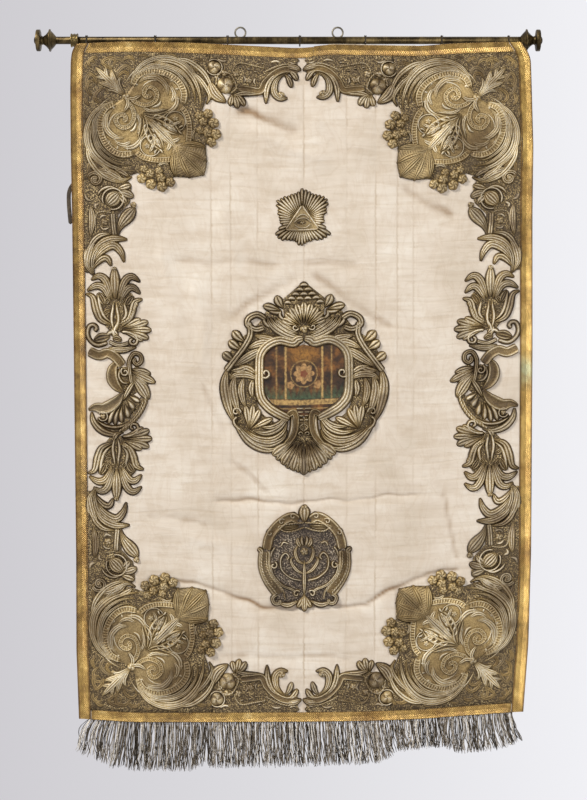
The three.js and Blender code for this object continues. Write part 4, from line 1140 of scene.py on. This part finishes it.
# %% Lower medallion forms
LOWER_SHIFT = 5
SCROLLED_EDGE = [
    (0, 1030), (28, 1022), (52, 1040), (76, 1066), (84, 1100), (96, 1104),
    (94, 1142), (82, 1172), (62, 1200), (66, 1216), (38, 1221), (12, 1212),
]
LOWER_SPINE = [
    (cut_cloth, SCROLLED_EDGE + [(-a, b) for a, b in SCROLLED_EDGE[::-1]], (0, 1120)),
    (leaf, [(0, 1046), (0, 1024), (0, 1003)], 24, 3, 7, 0.6),
    (boss, (0, 1010), 8, 7, 3),
    (leaf, [(0, 1196), (0, 1216), (0, 1239)], 15, 3, 6, 0.6),
    (leaf, [(0, 1204), (0, 1150), (0, 1122)], 8, 2, 5),
    (boss, (0, 1106), 9, 8, 5),
]
LOWER_HALF = [
    (framed, [(87, 1104), (88, 1140), (77, 1170), (54, 1202)], 25, 3),
    (framed, [(84, 1104), (76, 1072), (55, 1046), (30, 1031), (12, 1038)], 19, 5),
    (strap, spiral((25, 1029), 8, 2, 200, 420, 14), 4, 1, 5),
    (strap, spiral((50, 1041), 8, 2, 200, 420, 14), 4, 1, 5),
    (strap, spiral((76, 1066), 8, 2, 230, 420, 14), 4, 1, 5),
    (cord, [(0, 1043), (30, 1045), (60, 1052)], 4, 5, 6),
    (cord, [(0, 1053), (24, 1061), (44, 1062), (60, 1052)], 4, 5, 6),
    (cell, [(10, 1050), (32, 1054), (54, 1054)], 9, 4),
    (leaf, [(92, 1118), (95, 1106), (104, 1098)], 11, 2, 5, 0.6),
    (cord, [(94, 1106), (94, 1142), (82, 1172), (60, 1200)], 5, 5, 7),
    (cord, [(84, 1108), (82, 1140), (70, 1166), (48, 1190), (42, 1212)], 4, 5, 6),
    (strap, [(60, 1200), (70, 1208), (66, 1220), (55, 1220), (54, 1211)], 8, 2, 6),
    (leaf, [(58, 1219), (36, 1224), (12, 1214)], 10, 2, 5),
    (strap, [(64, 1096), (72, 1108), (74, 1120)], 5, 1, 5),
    (strap, spiral((68, 1137), 9, 2, 260, -430, 14), 4.5, 1, 6),
    (strap, [(76, 1134), (70, 1158), (50, 1180), (26, 1190), (18, 1198)], 6, 2, 6),
    (strap, spiral((17, 1199), 9, 2, 200, 420, 14), 4.5, 1, 6),
    (leaf, [(2, 1204), (10, 1222), (17, 1229)], 12, 2, 5, 0.6),
    (leaf, [(0, 1156), (18, 1146), (30, 1126), (22, 1116)], 7, 2, 5),
    (leaf, [(0, 1134), (14, 1126), (20, 1106), (12, 1090)], 7, 2, 5),
    (strap, [(6, 1170), (30, 1164), (50, 1146), (52, 1122), (42, 1110), (34, 1118), (40, 1126)], 4, 1, 5),
    (leaf, [(6, 1098), (14, 1086), (14, 1074)], 10, 2, 5),
    (leaf, [(2, 1096), (6, 1082), (4, 1070)], 8, 1, 5),
    (strap, [(34, 1090), (46, 1086), (52, 1096)], 4, 1, 4),
]
SEQUIN_COUNT = 26
lower_forms = worked(LOWER_SPINE) + pair(LOWER_HALF)
for k in range(SEQUIN_COUNT):  # single sequins down both sides of the frame, in turn
    share = k / SEQUIN_COUNT
    a = (-1 if k % 2 else 1) * (88 - 28 * share**1.5 + rng.uniform(-3, 3))
    lower_forms.append(boss((a, 1126 + 72 * share), 2.1, 2, 3))
sew("lower_work", lower_forms, lambda a, b: (a + LOWER_SHIFT, b), "lower_medallion", ground=SEQUINS)

# %% [markdown]
# ## Silk ground
# The ground is moire silk: a ribbed silk that was pressed while damp, so that crushed ribs shine
# in long wavering lines. It was folded for many years and hangs from a few ties, so it has soft
# troughs and ridges between the medallions. They are laid one by one where the photograph shows
# them, each as a line with a bell curve across it.

# %% Silk sheet
CREASES = [
    ((-134, 143), (-20, 178), -6, 26), ((-95, 186), (33, 246), 5, 26), ((35, 158), (125, 222), 3, 28),
    ((224, 315), (320, 374), -4, 28), ((-275, 477), (-60, 477), -3, 26), ((12, 477), (114, 477), -3, 26),
    ((-308, 462), (-297, 517), 4, 22), ((-297, 517), (-268, 594), 4, 22), ((-176, 374), (-143, 473), 4, 22),
    ((-235, 543), (-213, 605), 4.5, 22), ((-213, 605), (-220, 693), 4.5, 22), ((196, 640), (214, 760), 3.5, 22),
    ((-20, 505), (-150, 590), -3.5, 30), ((28, 505), (190, 620), -3.5, 30), ((-216, 752), (-172, 843), -3, 28),
    ((-156, 909), (-80, 975), -3, 26), ((-185, 996), (5, 1000), -4, 14), ((5, 1000), (250, 986), -3, 12),
    ((-340, 1030), (-210, 1050), -3, 14), ((310, 994), (337, 1133), -3, 18), ((-250, 1080), (-110, 1098), 2.5, 16),
    ((-334, 1170), (-205, 1184), -4, 14), ((-205, 1184), (-90, 1232), -5, 14), ((-90, 1232), (143, 1226), -5, 14),
    ((143, 1222), (277, 1159), -5, 14), ((277, 1159), (337, 1159), -4, 14), ((-183, 1338), (103, 1340), -3, 14),
]
FOLD_LINES = [
    (4, 0.7, 5), (-198, 0.5, 7), (-156, 0.5, 5), (-97, 0.5, 6),
    (97, 0.5, 6), (160, 0.6, 7), (207, 0.5, 5), (242, 0.4, 6),
]
SILK_GAUGE = 0.0016  # metres: silk, its linen backing and the stiffening between them


def crease(s, t):
    """A wide and a narrow bell curve of the distance from each line; where two meet, the deeper holds.

    The lines waver by a few millimetres, as a pucker does.
    """
    t = t + 3 * np.sin(s / 24) + 1.6 * np.sin(s / 9.5 + 1)
    dips, ridges = np.zeros_like(s), np.zeros_like(s)
    for (s0, t0), (s1, t1), depth, width in CREASES:
        run = np.array([s1 - s0, t1 - t0], float)
        near = np.clip(((s - s0) * run[0] + (t - t0) * run[1]) / (run @ run), 0, 1)
        away = np.hypot(s - s0 - near * run[0], t - t0 - near * run[1]) / width
        curve = depth * (0.55 * np.exp(-(away**2)) + 0.55 * np.exp(-((away / 0.26) ** 2)))
        dips, ridges = np.minimum(dips, curve), np.maximum(ridges, curve)
    return dips + ridges


def cockle(s, t):
    """Fine unevenness: a few slanting sine waves, and a thin groove at each old fold."""
    waves = 0.3 * np.sin(s / 31 + 1.3 * np.sin(t / 90)) * np.sin(t / 57 + 0.8) + 0.25 * np.sin(s / 17 + t / 43 + 2)
    folds = sum(depth * np.exp(-(((s - at - 3 * np.sin(t / 160)) / width) ** 2)) for at, depth, width in FOLD_LINES)
    return waves - folds


def cloth_rows():
    """Places down the cloth: even, and three times as close where the two long puckers run."""
    fine = np.linspace(0, CLOTH_HEIGHT, 6001)
    dense = 1 + 2.2 * ((np.abs(fine - 995) < 16) | (np.abs(fine - 1200) < 50))
    share = np.concatenate(([0], np.cumsum((dense[1:] + dense[:-1]) / 2)))
    return np.interp(np.linspace(0, share[-1], 221), share, fine)


s, t = np.meshgrid(np.linspace(-500, 500, 131), cloth_rows(), indexing="xy")
sunk = crease(s, t)
free = np.clip((360 - np.abs(s)) / 60, 0, 1)
spots = hang(s, t, SILK_FRONT + sunk + free * cockle(s, t))
# painted shade with some fold stain: brown in the deep crease troughs, set 2 mm higher than each trough's line
crease_shade_and_stain = np.clip(-crease(s, t + 2) / 3.6 - 0.5, 0, 1) * (0.7 + 0.3 * np.sin(s / 23))
print("silk creases run from", round(float(sunk.min()), 1), "to", round(float(sunk.max()), 1), "mm")

# %% Silk finish
RIB_PITCH = 0.003      # metres: real ribs lie 0.6 mm apart, drawn five times as coarse to show
# The brown line down each old fold is painted shade in the fold's groove.
FOLD_SHADE = 0.0032    # metres: half the width of the brown line down an old fold


def silk_material():
    """Moire silk: fine ribs and wrinkles across, faint watered lines, foxed. Painted shade lies in the
    wrinkle hollows and down the old folds, and the crease troughs are browned by stain and painted shade.
    """
    material, node = new_material("moire silk")
    cloth = node("UVMap", uv_map="thread")
    across, down = (node("SeparateXYZ", cloth, output=axis) for axis in "XY")
    flat = node("Mapping", cloth, Scale=(30, 12, 1))
    water = node("TexNoise", flat, Scale=1, Detail=5, Roughness=0.55, Distortion=1.2)
    level = node("Mapping", cloth, Scale=(9, 75, 1))
    wrinkle = node("TexNoise", level, Scale=1, Detail=4, Roughness=0.5, Distortion=0.8)
    crushed = node("MapRange", node("Math ABSOLUTE", node("Math SUBTRACT", water, 0.5)), 0, 0.06)
    ribs = node("Math MULTIPLY", down, 2 * math.pi / RIB_PITCH)
    ribs = node("Math SINE", node("Math MULTIPLY_ADD", water, 18, ribs))
    patch = node("TexNoise", cloth, Scale=7, Detail=5, Roughness=0.6)
    # the painted crease shade and stain, patchy along each crease
    shaded_and_stained = node("Math MULTIPLY", node("Attribute", attribute_name="crease_shade_and_stain", output="Fac"),
                   node("MapRange", patch, 0.3, 0.7, 1, 0.7))
    # fold_shading: painted shade down the groove of each old fold
    fold_shading = 0.0
    for at, depth, _ in FOLD_LINES:
        away = node("Math SUBTRACT", across, at / 1000 + 0.003)
        away = node("Math ABSOLUTE", node("Math MULTIPLY_ADD", wrinkle, 0.006, away))
        fold_shading = node("Math MAXIMUM", node("MapRange", away, FOLD_SHADE, 0, 0, depth), fold_shading)
    colour = layered(
        node, node("ValToRGB", patch, stops=((0.3, "#c4b8a7"), (0.5, "#cfc4b5"), (0.72, "#dbd4c8"))),
        ("MULTIPLY", node("MapRange", crushed, 1, 0, 0, 0.12), "#d6c09e"),
        # painted shade in the hollows of the wrinkles, where the bump is low
        ("MULTIPLY", node("MapRange", wrinkle, 0.56, 0.34, 0, 0.22), "#cdbb9f"),
        ("MULTIPLY", shaded_and_stained, "#a07d46"),
        ("MULTIPLY", node("Math MULTIPLY", fold_shading, node("MapRange", patch, 0.42, 0.58, 0, 0.8)), "#bda684"))
    height = node("Math MULTIPLY_ADD", wrinkle, 9, node("Math MULTIPLY_ADD", ribs, 0.3, crushed))
    height = node("Math MULTIPLY_ADD", fold_shading, -4, height)
    return finish(material, (height, 0.25, 0.0006), Base_Color=colour, Sheen_Weight=0.25, Sheen_Roughness=0.4,
                  Roughness=node("MapRange", crushed, 0, 1, 0.38, 0.55))


silk = cloth_object("silk_cloth", spots, s, t, silk_material(), {"crease_shade_and_stain": crease_shade_and_stain}, SILK_GAUGE)
settle(silk, "silk_ground")

# %% [markdown]
# ## Galloon, heading and fringe
# Galloon is a narrow ribbon woven of gilt thread in a zigzag, sewn flat round the edge. Its
# selvedges are corded. The heading is plain linen tape behind the top edge. The fringe is
# bullion: gilt and silver wire coiled into soft springs that hang side by side from a braid.

# %% Galloon
GALLOON_BACK = SILK_FRONT + 0.3
GALLOON_GAUGE = 1.2
CHEVRON = 0.0044     # metres: one zigzag of the weave, drawn half as coarse again to show
DAMP_PLACE = 0.728   # metres down the ribbon


def galloon_material(name, stops, damp=0.0):
    """Gilt thread woven in a zigzag: bright floats with painted glints, brown hollows, and painted shade towards both
    edges.

    Where damp got in, the wire's copper has bloomed blue-green over 90 mm of the ribbon.
    """
    material, node = new_material(name)
    along, across = (node("SeparateXYZ", node("UVMap", uv_map="thread"), output=axis) for axis in "XY")
    fold = node("Math ABSOLUTE", across)
    zigzag = node("Math MULTIPLY", node("Math ADD", along, fold), 2 * math.pi / CHEVRON)
    zigzag = node("Math SINE", zigzag)
    place = node("TexCoord", output="Object")
    worn = node("TexNoise", place, Scale=26, Detail=6, Roughness=0.7)
    glint = node("TexNoise", place, Scale=260, Detail=3)
    patch = node("TexNoise", place, Scale=11, Detail=3, Roughness=0.6)
    # glint paints small bright flecks of highlight on the thread; worn is real wear in patches
    lit = node("Math MULTIPLY_ADD", glint, 0.22, node("Math MULTIPLY", worn, 0.7))
    lit = node("Math ADD", node("Math MULTIPLY", node("MapRange", zigzag, -1, 1), 0.12), lit)
    bloom = node("Math ABSOLUTE", node("Math SUBTRACT", along, DAMP_PLACE))
    bloom = node("Math MULTIPLY", node("MapRange", bloom, 0.045, 0.01, 0, damp), node("MapRange", worn, 0.35, 0.6))
    colour = layered(
        node, node("ValToRGB", lit, stops=zip((0.3, 0.46, 0.6, 0.85), stops)),
        ("MULTIPLY", node("MapRange", patch, 0.56, 0.36, 0, 0.5), "#9f7d44"),
        ("MIX", bloom, "#93ab94"),
        # painted shade: darker towards both selvedges, lighter in the middle of the ribbon
        ("MULTIPLY", node("Math MULTIPLY", node("MapRange", fold, 0.0085, 0.0125), 0.8), "#6a4a22"))
    height = node("Math ADD", zigzag, node("Math MULTIPLY", glint, 2))
    return finish(material, (height, 0.6, 0.0008), Base_Color=colour, Metallic=0.5,
                  Roughness=node("MapRange", glint, 0.3, 0.7, 0.28, 0.5))


GILT = galloon_material("woven gilt galloon", ("#4c3b1e", "#8e713f", "#bb9a54", "#fbe7b2"))
# A lighter copy of the galloon for the right side: painted light, for the stronger light that falls there. It also has
# the real damp bloom.
LIGHTER_LIT_GILT = galloon_material(
    "woven gilt galloon, painted lighter for stronger light", ("#5c4921", "#9f8245", "#d0ad62", "#fff0b8"), damp=0.6)


def galloon(part, start, end, half, material, step=5):
    """A ribbon from start to end: flat with corded selvedges, and a little uneven along it."""
    start, end = np.array(start, float), np.array(end, float)
    length = np.linalg.norm(end - start)
    along = np.linspace(0, length, int(length / step) + 1)[:, None]
    v = np.concatenate(([-1], np.linspace(-1, 1, 17), [1]))[None, :]
    way = (end - start) / length
    cords = np.exp(-(((np.abs(v) - 0.88) / 0.09) ** 2))
    uneven = 0.35 * np.sin(along / 9.1 + 1.7 * np.sin(along / 41)) + 0.25 * np.sin(along / 23 + 3 * v)
    level = GALLOON_GAUGE + 0.7 * cords + uneven * np.cos(np.pi / 2 * v) + 0 * along
    level[:, [0, -1]] = level[[0, -1]] = 0
    s = start[0] + way[0] * along - way[1] * half * v
    t = start[1] + way[1] * along + way[0] * half * v
    piece = cloth_object(f"gilt_galloon_{part}", hang(s, t, GALLOON_BACK + level), along, half * v, material)
    settle(piece, f"galloon_{part}")
    print(piece.name, round(float(length)), "mm long")


galloon("left", (-487.5, -1), (-487.5, 1481), 13.5, GILT)
# the right galloon takes the lighter copy: painted light on that side
galloon("right", (487.5, -1), (487.5, 1481), 13.5, LIGHTER_LIT_GILT)
galloon("top_a", (-472.5, 10.2), (26, 10.2), 11.3, GILT)
galloon("top_b", (26.3, 9.2), (472.5, 9.2), 11.3, GILT)
galloon("bottom", (-472.5, 1470.5), (472.5, 1470.5), 10.5, GILT)

# %% Linen heading and tape loop
HEADING_BACK = 9.65
TAPE_BACK = 9.6


def weave_material(name, dark, light, pitch):
    """Plain weave: two sets of threads cross over and under each other."""
    material, node = new_material(name)
    parts = (node("SeparateXYZ", node("UVMap", uv_map="thread"), output=axis) for axis in "XY")
    turns = (node("Math MULTIPLY", part, 2 * math.pi / pitch) for part in parts)
    crossing = node("Math MULTIPLY", *(node("Math SINE", turn) for turn in turns))
    slub = node("TexNoise", node("TexCoord", output="Object"), Scale=90, Detail=4)
    colour = node("ValToRGB", node("Math MULTIPLY_ADD", crossing, 0.2, slub), stops=((0.3, dark), (0.75, light)))
    return finish(material, (crossing, 0.5, 0.0005), Base_Color=colour, Roughness=0.85)


LINEN = weave_material("plain linen tape", "#9d907a", "#d8cab2", 0.0016)
TAPE = weave_material("dark tape", "#2a231b", "#5c5040", 0.0016)
s, t = np.meshgrid(np.linspace(-478, 478, 240), np.linspace(-0.6, 22, 7), indexing="xy")
# the heading's top edge stands up between the ties, right of the middle
lift = 3.6 * np.clip((s - 50) / 12, 0, 1) * np.clip((270 - s) / 12, 0, 1) * (1 - (t + 0.6) / 22.6)
heading = cloth_object("linen_heading", hang(s, t - lift, HEADING_BACK + 1), s, t, LINEN, gauge=0.0009)
settle(heading, "heading_tape")

loop = carried([(-494, 302), (-506, 322), (-508, 350), (-505, 396)], 9, 0.9, *ribbed(1), blunt, 3, 0)
s, t, height = np.moveaxis(loop.grid, -1, 0)
u, v = np.moveaxis(loop.thread, -1, 0)
tape = cloth_object("tape_strap", hang(s, t, TAPE_BACK + np.maximum(height, -0.4)), u, v, TAPE)
settle(tape, "tape_loop")
print("heading and tape loop sewn on")

# %% Bullion fringe
FRINGE_BACK = 9.25
FRINGE_HANG = [
    (-484, -40, 62), (-460, -28, 80), (-410, -14, 100), (-340, -4, 104), (-240, -2, 103), (-222, -6, 90), (-205, 3, 98),
    (0, 4, 96), (170, 14, 92), (200, 10, 68), (325, 6, 64), (345, 6, 80), (425, 10, 80), (474, 26, 64),
]
BULLIONS = 900
BULLION_RADIUS = 0.85
COIL_PITCH = 0.003   # metres: the real coils lie 0.5 mm apart, drawn six times as coarse to show
STATIONS, SIDES_ROUND = 9, 4


def bullion_material():
    """Bullion: fine silver-gilt wire wound like a spring, grey where it has tarnished."""
    material, node = new_material("silver bullion wire")
    along = node("SeparateXYZ", node("UVMap", uv_map="thread"))
    coil = node("Math SINE", node("Math MULTIPLY", along, 2 * math.pi / COIL_PITCH))
    tone = node("MapRange", node("Attribute", attribute_name="tone", output="Fac"), -1, 1)
    colour = node("ValToRGB", node("Math MULTIPLY_ADD", coil, 0.12, tone),
                  stops=((0.05, "#241d13"), (0.4, "#574c3c"), (0.7, "#94897a"), (1, "#f5efe4")))
    return finish(material, (coil, 0.5, 0.0005), Base_Color=colour, Metallic=0.4, Roughness=0.42)


def wound(index):
    """The quads between neighbouring rows of point numbers, each row closed on itself."""
    ahead = np.roll(index, -1, axis=-1)
    return np.stack((index[..., :-1, :], ahead[..., :-1, :], ahead[..., 1:, :], index[..., 1:, :]), -1).reshape(-1, 4)


def bullion_fringe():
    """Each strand is a four-sided tube down a line that leans, and bows a little, as it drops."""
    table = np.array(FRINGE_HANG, float)
    root = np.linspace(-476, 476, BULLIONS) + rng.uniform(-0.4, 0.4, BULLIONS)
    lean = np.interp(root, table[:, 0], table[:, 1]) + rng.normal(0, 5.5, BULLIONS)
    lean += 6 * np.sin(root / 19) * np.sin(root / 7.3)
    drop = np.interp(root, table[:, 0], table[:, 2]) * (1 + rng.uniform(-0.07, 0.05, BULLIONS))
    out = (np.arange(BULLIONS) % 5 - 2) * 2.0 + rng.uniform(-0.6, 0.6, BULLIONS)
    bow = rng.normal(0, 3.4, BULLIONS) - 9 * np.clip((-380 - root) / 90, 0, 1)
    wave = rng.uniform(0, 6.3, BULLIONS)
    u = np.linspace(0, 1, STATIONS)[None, :]
    ripple = 1.9 * u * np.sin(2 * np.pi * u * rng.uniform(1.2, 2.4, BULLIONS)[:, None] + wave[:, None])
    across = root[:, None] + lean[:, None] * u**1.4 + bow[:, None] * np.sin(np.pi * u * 1.3) + ripple
    down = 1478 + (drop[:, None] + 3) * u
    level = FRINGE_BACK + 0.7 + out[:, None] * np.sin(np.pi / 2 * np.clip(u * 1.6, 0, 1))
    turn = np.arange(SIDES_ROUND) * np.pi / 2
    size = BULLION_RADIUS * np.array([0.7, 1, 1, 1, 1, 1, 1, 1.1, 0.5])[None, :, None]
    s, t = across[..., None] + size * np.cos(turn), down[..., None] + 0 * turn
    points = hang(s, t, level[..., None] + size * np.sin(turn)).reshape(-1, 3)
    index = np.arange(len(points)).reshape(BULLIONS, STATIONS, SIDES_ROUND)
    quads = np.concatenate((wound(index)[:, [0, 3, 2, 1]], index[:, 0], index[:, -1, ::-1]))
    thread = np.stack(np.broadcast_arrays(drop[:, None, None] * u[..., None], size * turn), -1).reshape(-1, 2)
    tone = np.repeat(rng.uniform(-1, 1, BULLIONS), STATIONS * SIDES_ROUND)
    return points, quads, (bullion_material(),), thread, {"tone": tone}


fringe = mesh_object("bullion_fringe", *bullion_fringe())
settle(fringe, "fringe")
print("fringe", len(fringe.data.polygons) * 2, "triangles")

# %% [markdown]
# ## Rod, finials, collar and rings
# The rod and its ends are turned brass gone brown, polished only where hands and the cloth rub
# it. A turned part is a profile spun round its axis, so each is one table of places along the
# axis and radii.

# %% Turned metal
ROD_Z = -16.0


def aged_metal(name, dark, mid, bright, shine):
    """Old metal: a brown skin, bright where it is rubbed, with turning lines round it."""
    material, node = new_material(name)
    place = node("TexCoord", output="Object")
    skin = node("TexNoise", place, Scale=34, Detail=6, Roughness=0.65)
    lines = node("TexNoise", node("Mapping", place, Scale=(900, 40, 40)), Scale=1, Detail=2)
    lit = node("Math MULTIPLY_ADD", lines, 0.25, node("Math MULTIPLY", skin, 0.8))
    colour = node("ValToRGB", lit, stops=((0.34, dark), (0.52, mid), (0.72, bright)))
    return finish(material, (lines, 0.15, 0.0003), Base_Color=colour, Metallic=0.9,
                  Roughness=node("MapRange", skin, 0.3, 0.7, shine, shine + 0.22))


BRASS = aged_metal("turned brass gone brown", "#221b10", "#4a3e27", "#8a7750", 0.32)
RUBBED_BRASS = aged_metal("turned brass, rubbed bright", "#3d3320", "#7d6c45", "#bfae80", 0.3)
IRON = aged_metal("dull iron wire", "#4a463e", "#7b766a", "#b0ab9d", 0.4)


def round_angles(count):
    """Even angles once round a circle, without the last one, which is the first again."""
    return np.linspace(0, 2 * np.pi, count + 1)[:-1]


def turned(name, profile, material, node, start=0.0, towards=1):
    """A profile of places along the axis and radii, spun round the rod's axis."""
    along, radius = np.array(profile, float).T
    angle = round_angles(56)
    reach = np.maximum(radius, 0.02)[:, None]
    x = start + towards * along[:, None] + 0 * angle
    points = np.stack((x, reach * np.cos(angle), ROD_Z + reach * np.sin(angle)), -1).reshape(-1, 3) / 1000
    quads = wound(np.arange(len(points)).reshape(len(along), -1))
    settle(mesh_object(name, points, quads if towards < 0 else quads[:, ::-1], (material,)), node)
    print(name, "reaches", round(float(radius.max()), 1), "mm from the axis")


ROD = [(-511.6, 0), (-511.6, 7.8), (-511.2, 8.25), (508, 8.25), (508.3, 7.8), (508.3, 0)]
turned("brass_rod", ROD, BRASS, "rod")
FINIAL = [
    (0, 0), (0, 8.6), (0.6, 9), (2, 10.6), (6, 15.5), (10.4, 19.8), (12, 21.2), (12.4, 24), (13, 24.4), (14.6, 24.4),
    (15.1, 24), (15.6, 21.2), (18, 18), (23, 12.6), (27, 9.6), (28.4, 9), (30.5, 9.2), (33, 11), (34.2, 13.4),
    (34.8, 22.6), (35.4, 23.4), (36.2, 23.6), (42.2, 23.6), (43, 23.3), (43.5, 22.4), (43.8, 9.4), (44.6, 9), (46.6, 8),
    (48.2, 5.8), (49, 3), (49.3, 0),
]
turned("brass_finial_left", FINIAL, BRASS, "finial_left", start=-511.9, towards=-1)
turned("brass_finial_right", FINIAL, BRASS, "finial_right", start=508.6)
COLLAR = [
    (-8, 8.6), (-8, 14.4), (-7.5, 15), (-5.6, 15), (-5.2, 14.4), (-4.6, 13.6), (-3, 13.2), (-2.2, 13.8), (-1.4, 14.8),
    (-0.6, 14.8), (0, 13), (0.6, 14.8), (1.4, 14.8), (2.2, 13.8), (3, 13.2), (4.6, 13.6), (5.2, 14.4), (5.6, 15),
    (7.5, 15), (8, 14.4), (8, 8.6),
]
turned("brass_collar", COLLAR, RUBBED_BRASS, "rod_collar", start=-471.5)

# %% Rings
RING_X, RING_RADIUS, RING_WIRE = 107, 11.5, 2.0


def tube(line, radius, sides, steady):
    """A round tube along a closed line; steady is a direction that the line never runs along."""
    ahead = np.roll(line, -1, axis=0) - np.roll(line, 1, axis=0)
    ahead /= np.linalg.norm(ahead, axis=1, keepdims=True)
    side = np.cross(ahead, steady)
    side /= np.linalg.norm(side, axis=1, keepdims=True)
    up = np.cross(side, ahead)
    angle = np.arange(sides) * 2 * np.pi / sides
    points = line[:, None] + radius * (np.cos(angle)[:, None] * side[:, None] + np.sin(angle)[:, None] * up[:, None])
    index = np.arange(len(line) * sides).reshape(len(line), sides)
    return points.reshape(-1, 3) / 1000, wound(np.vstack((index, index[:1])))


for side, x in (("left", -RING_X), ("right", RING_X)):
    angle = round_angles(48)
    line = np.stack((x + RING_RADIUS * np.cos(angle), 0 * angle, 1 + RING_RADIUS * np.sin(angle)), -1)
    wire_ring = mesh_object(f"iron_ring_{side}", *tube(line, RING_WIRE, 12, (0, 1, 0)), (IRON,))
    settle(wire_ring, f"ring_{side}")
print("rings", 2 * RING_X, "mm apart")

# %% [markdown]
# ## Thread ties
# Dark linen thread goes three times round the rod and through the heading, and is knotted on top.

# %% Ties
TIE_PLACES = [-445, -294, -135, 24, 168, 336, 483]
THREAD_RADIUS, KNOT_RADIUS = 0.55, 0.75
THREAD = weave_material("waxed linen thread", "#241e16", "#4d4233", 0.0012)


def joined(parts):
    """Several meshes as one: their points and quads, with the numbers moved up."""
    starts = np.cumsum([0] + [len(points) for points, _ in parts[:-1]])
    return np.concatenate([p for p, _ in parts]), np.concatenate([q + k for (_, q), k in zip(parts, starts)])


for number, x in enumerate(TIE_PLACES, 1):
    angle = round_angles(40)
    parts = []
    for turn in (-1, 0, 1):  # each turn sags 4 mm below the rod, to the heading
        reach = 8.9 + 0.05 * turn
        z = ROD_Z + reach * np.sin(angle) - 4.0 * (np.sin(angle) < 0)
        line = np.stack((x + turn * 1.1 + 0.5 * np.sin(angle), reach * np.cos(angle), z), -1)
        parts.append(tube(line, THREAD_RADIUS, 6, (1, 0, 0)))
    knot = np.stack((x + 2.2 * np.cos(angle), -3 + 1.8 * np.sin(2 * angle), ROD_Z + 9.1 + 1.0 * np.cos(3 * angle)), -1)
    points, quads = joined([*parts, tube(knot, KNOT_RADIUS, 6, (0, 0, 1))])
    tie = mesh_object(f"thread_tie_{number}", points, quads, (THREAD,), points[:, [0, 2]] * 1000)
    settle(tie, f"tie_{number}")
print("ties", len(TIE_PLACES))

# %% [markdown]
# ## Studio
# The banner hangs before a plain light wall over a pale floor. A large soft key light stands high
# on the left, and a broad fill light on the right.

# %% Floor and lights
FLOOR_Z = -2.1
world = bpy.data.worlds.new("studio")
bpy.context.scene.world = world
world.use_nodes = True
node = partial(add, world.node_tree)
across, back = (node("SeparateXYZ", node("TexCoord", output="Generated"), output=axis) for axis in "XY")
wall = node("ValToRGB", node("MapRange", across, -0.2, 0.2), stops=((0, "#cbc9ce"), (0.45, "#dcdbdf"), (1, "#f5f5f9")))
background = world.node_tree.nodes["Background"]
feed(world.node_tree, background.inputs["Color"], wall)
feed(world.node_tree, background.inputs["Strength"], node("MapRange", back, -0.4, 0.7, 0.4, 1))


def floor_material():
    """Matt pale paint with the faintest unevenness."""
    material, node = new_material("matt pale floor")
    drift = node("TexNoise", node("TexCoord", output="Object"), Scale=1.5, Detail=3)
    colour = node("ValToRGB", drift, stops=((0.3, "#b6b6ba"), (0.7, "#bfbfc3")))
    return finish(material, Base_Color=colour, Roughness=0.9)


corners = np.array([(-6, -6, FLOOR_Z), (6, -6, FLOOR_Z), (6, 1.7, FLOOR_Z), (-6, 1.7, FLOOR_Z)])
mesh_object("studio_floor", corners, np.array([[0, 1, 2, 3]]), (floor_material(),))


def lamp(name, place, target, size, power, colour):
    """A square area lamp turned towards its target."""
    data = bpy.data.lights.new(name, "AREA")
    data.shape = "SQUARE"
    data.size = size
    data.energy = power
    data.color = linear(colour)[:3]
    obj = bpy.data.objects.new(name, data)
    obj.location = place
    obj.rotation_euler = (Vector(target) - Vector(place)).to_track_quat("-Z", "Y").to_euler()
    bpy.context.scene.collection.objects.link(obj)


lamp("key", (-5.2, -4.6, 4.4), (0, 0, -0.8), 1.8, 740, "#fffaf2")
lamp("fill", (5.0, -5.4, -0.2), (0, 0, -0.8), 3.0, 235, "#fffcf8")
print("lamps", [light.name for light in bpy.data.lights])
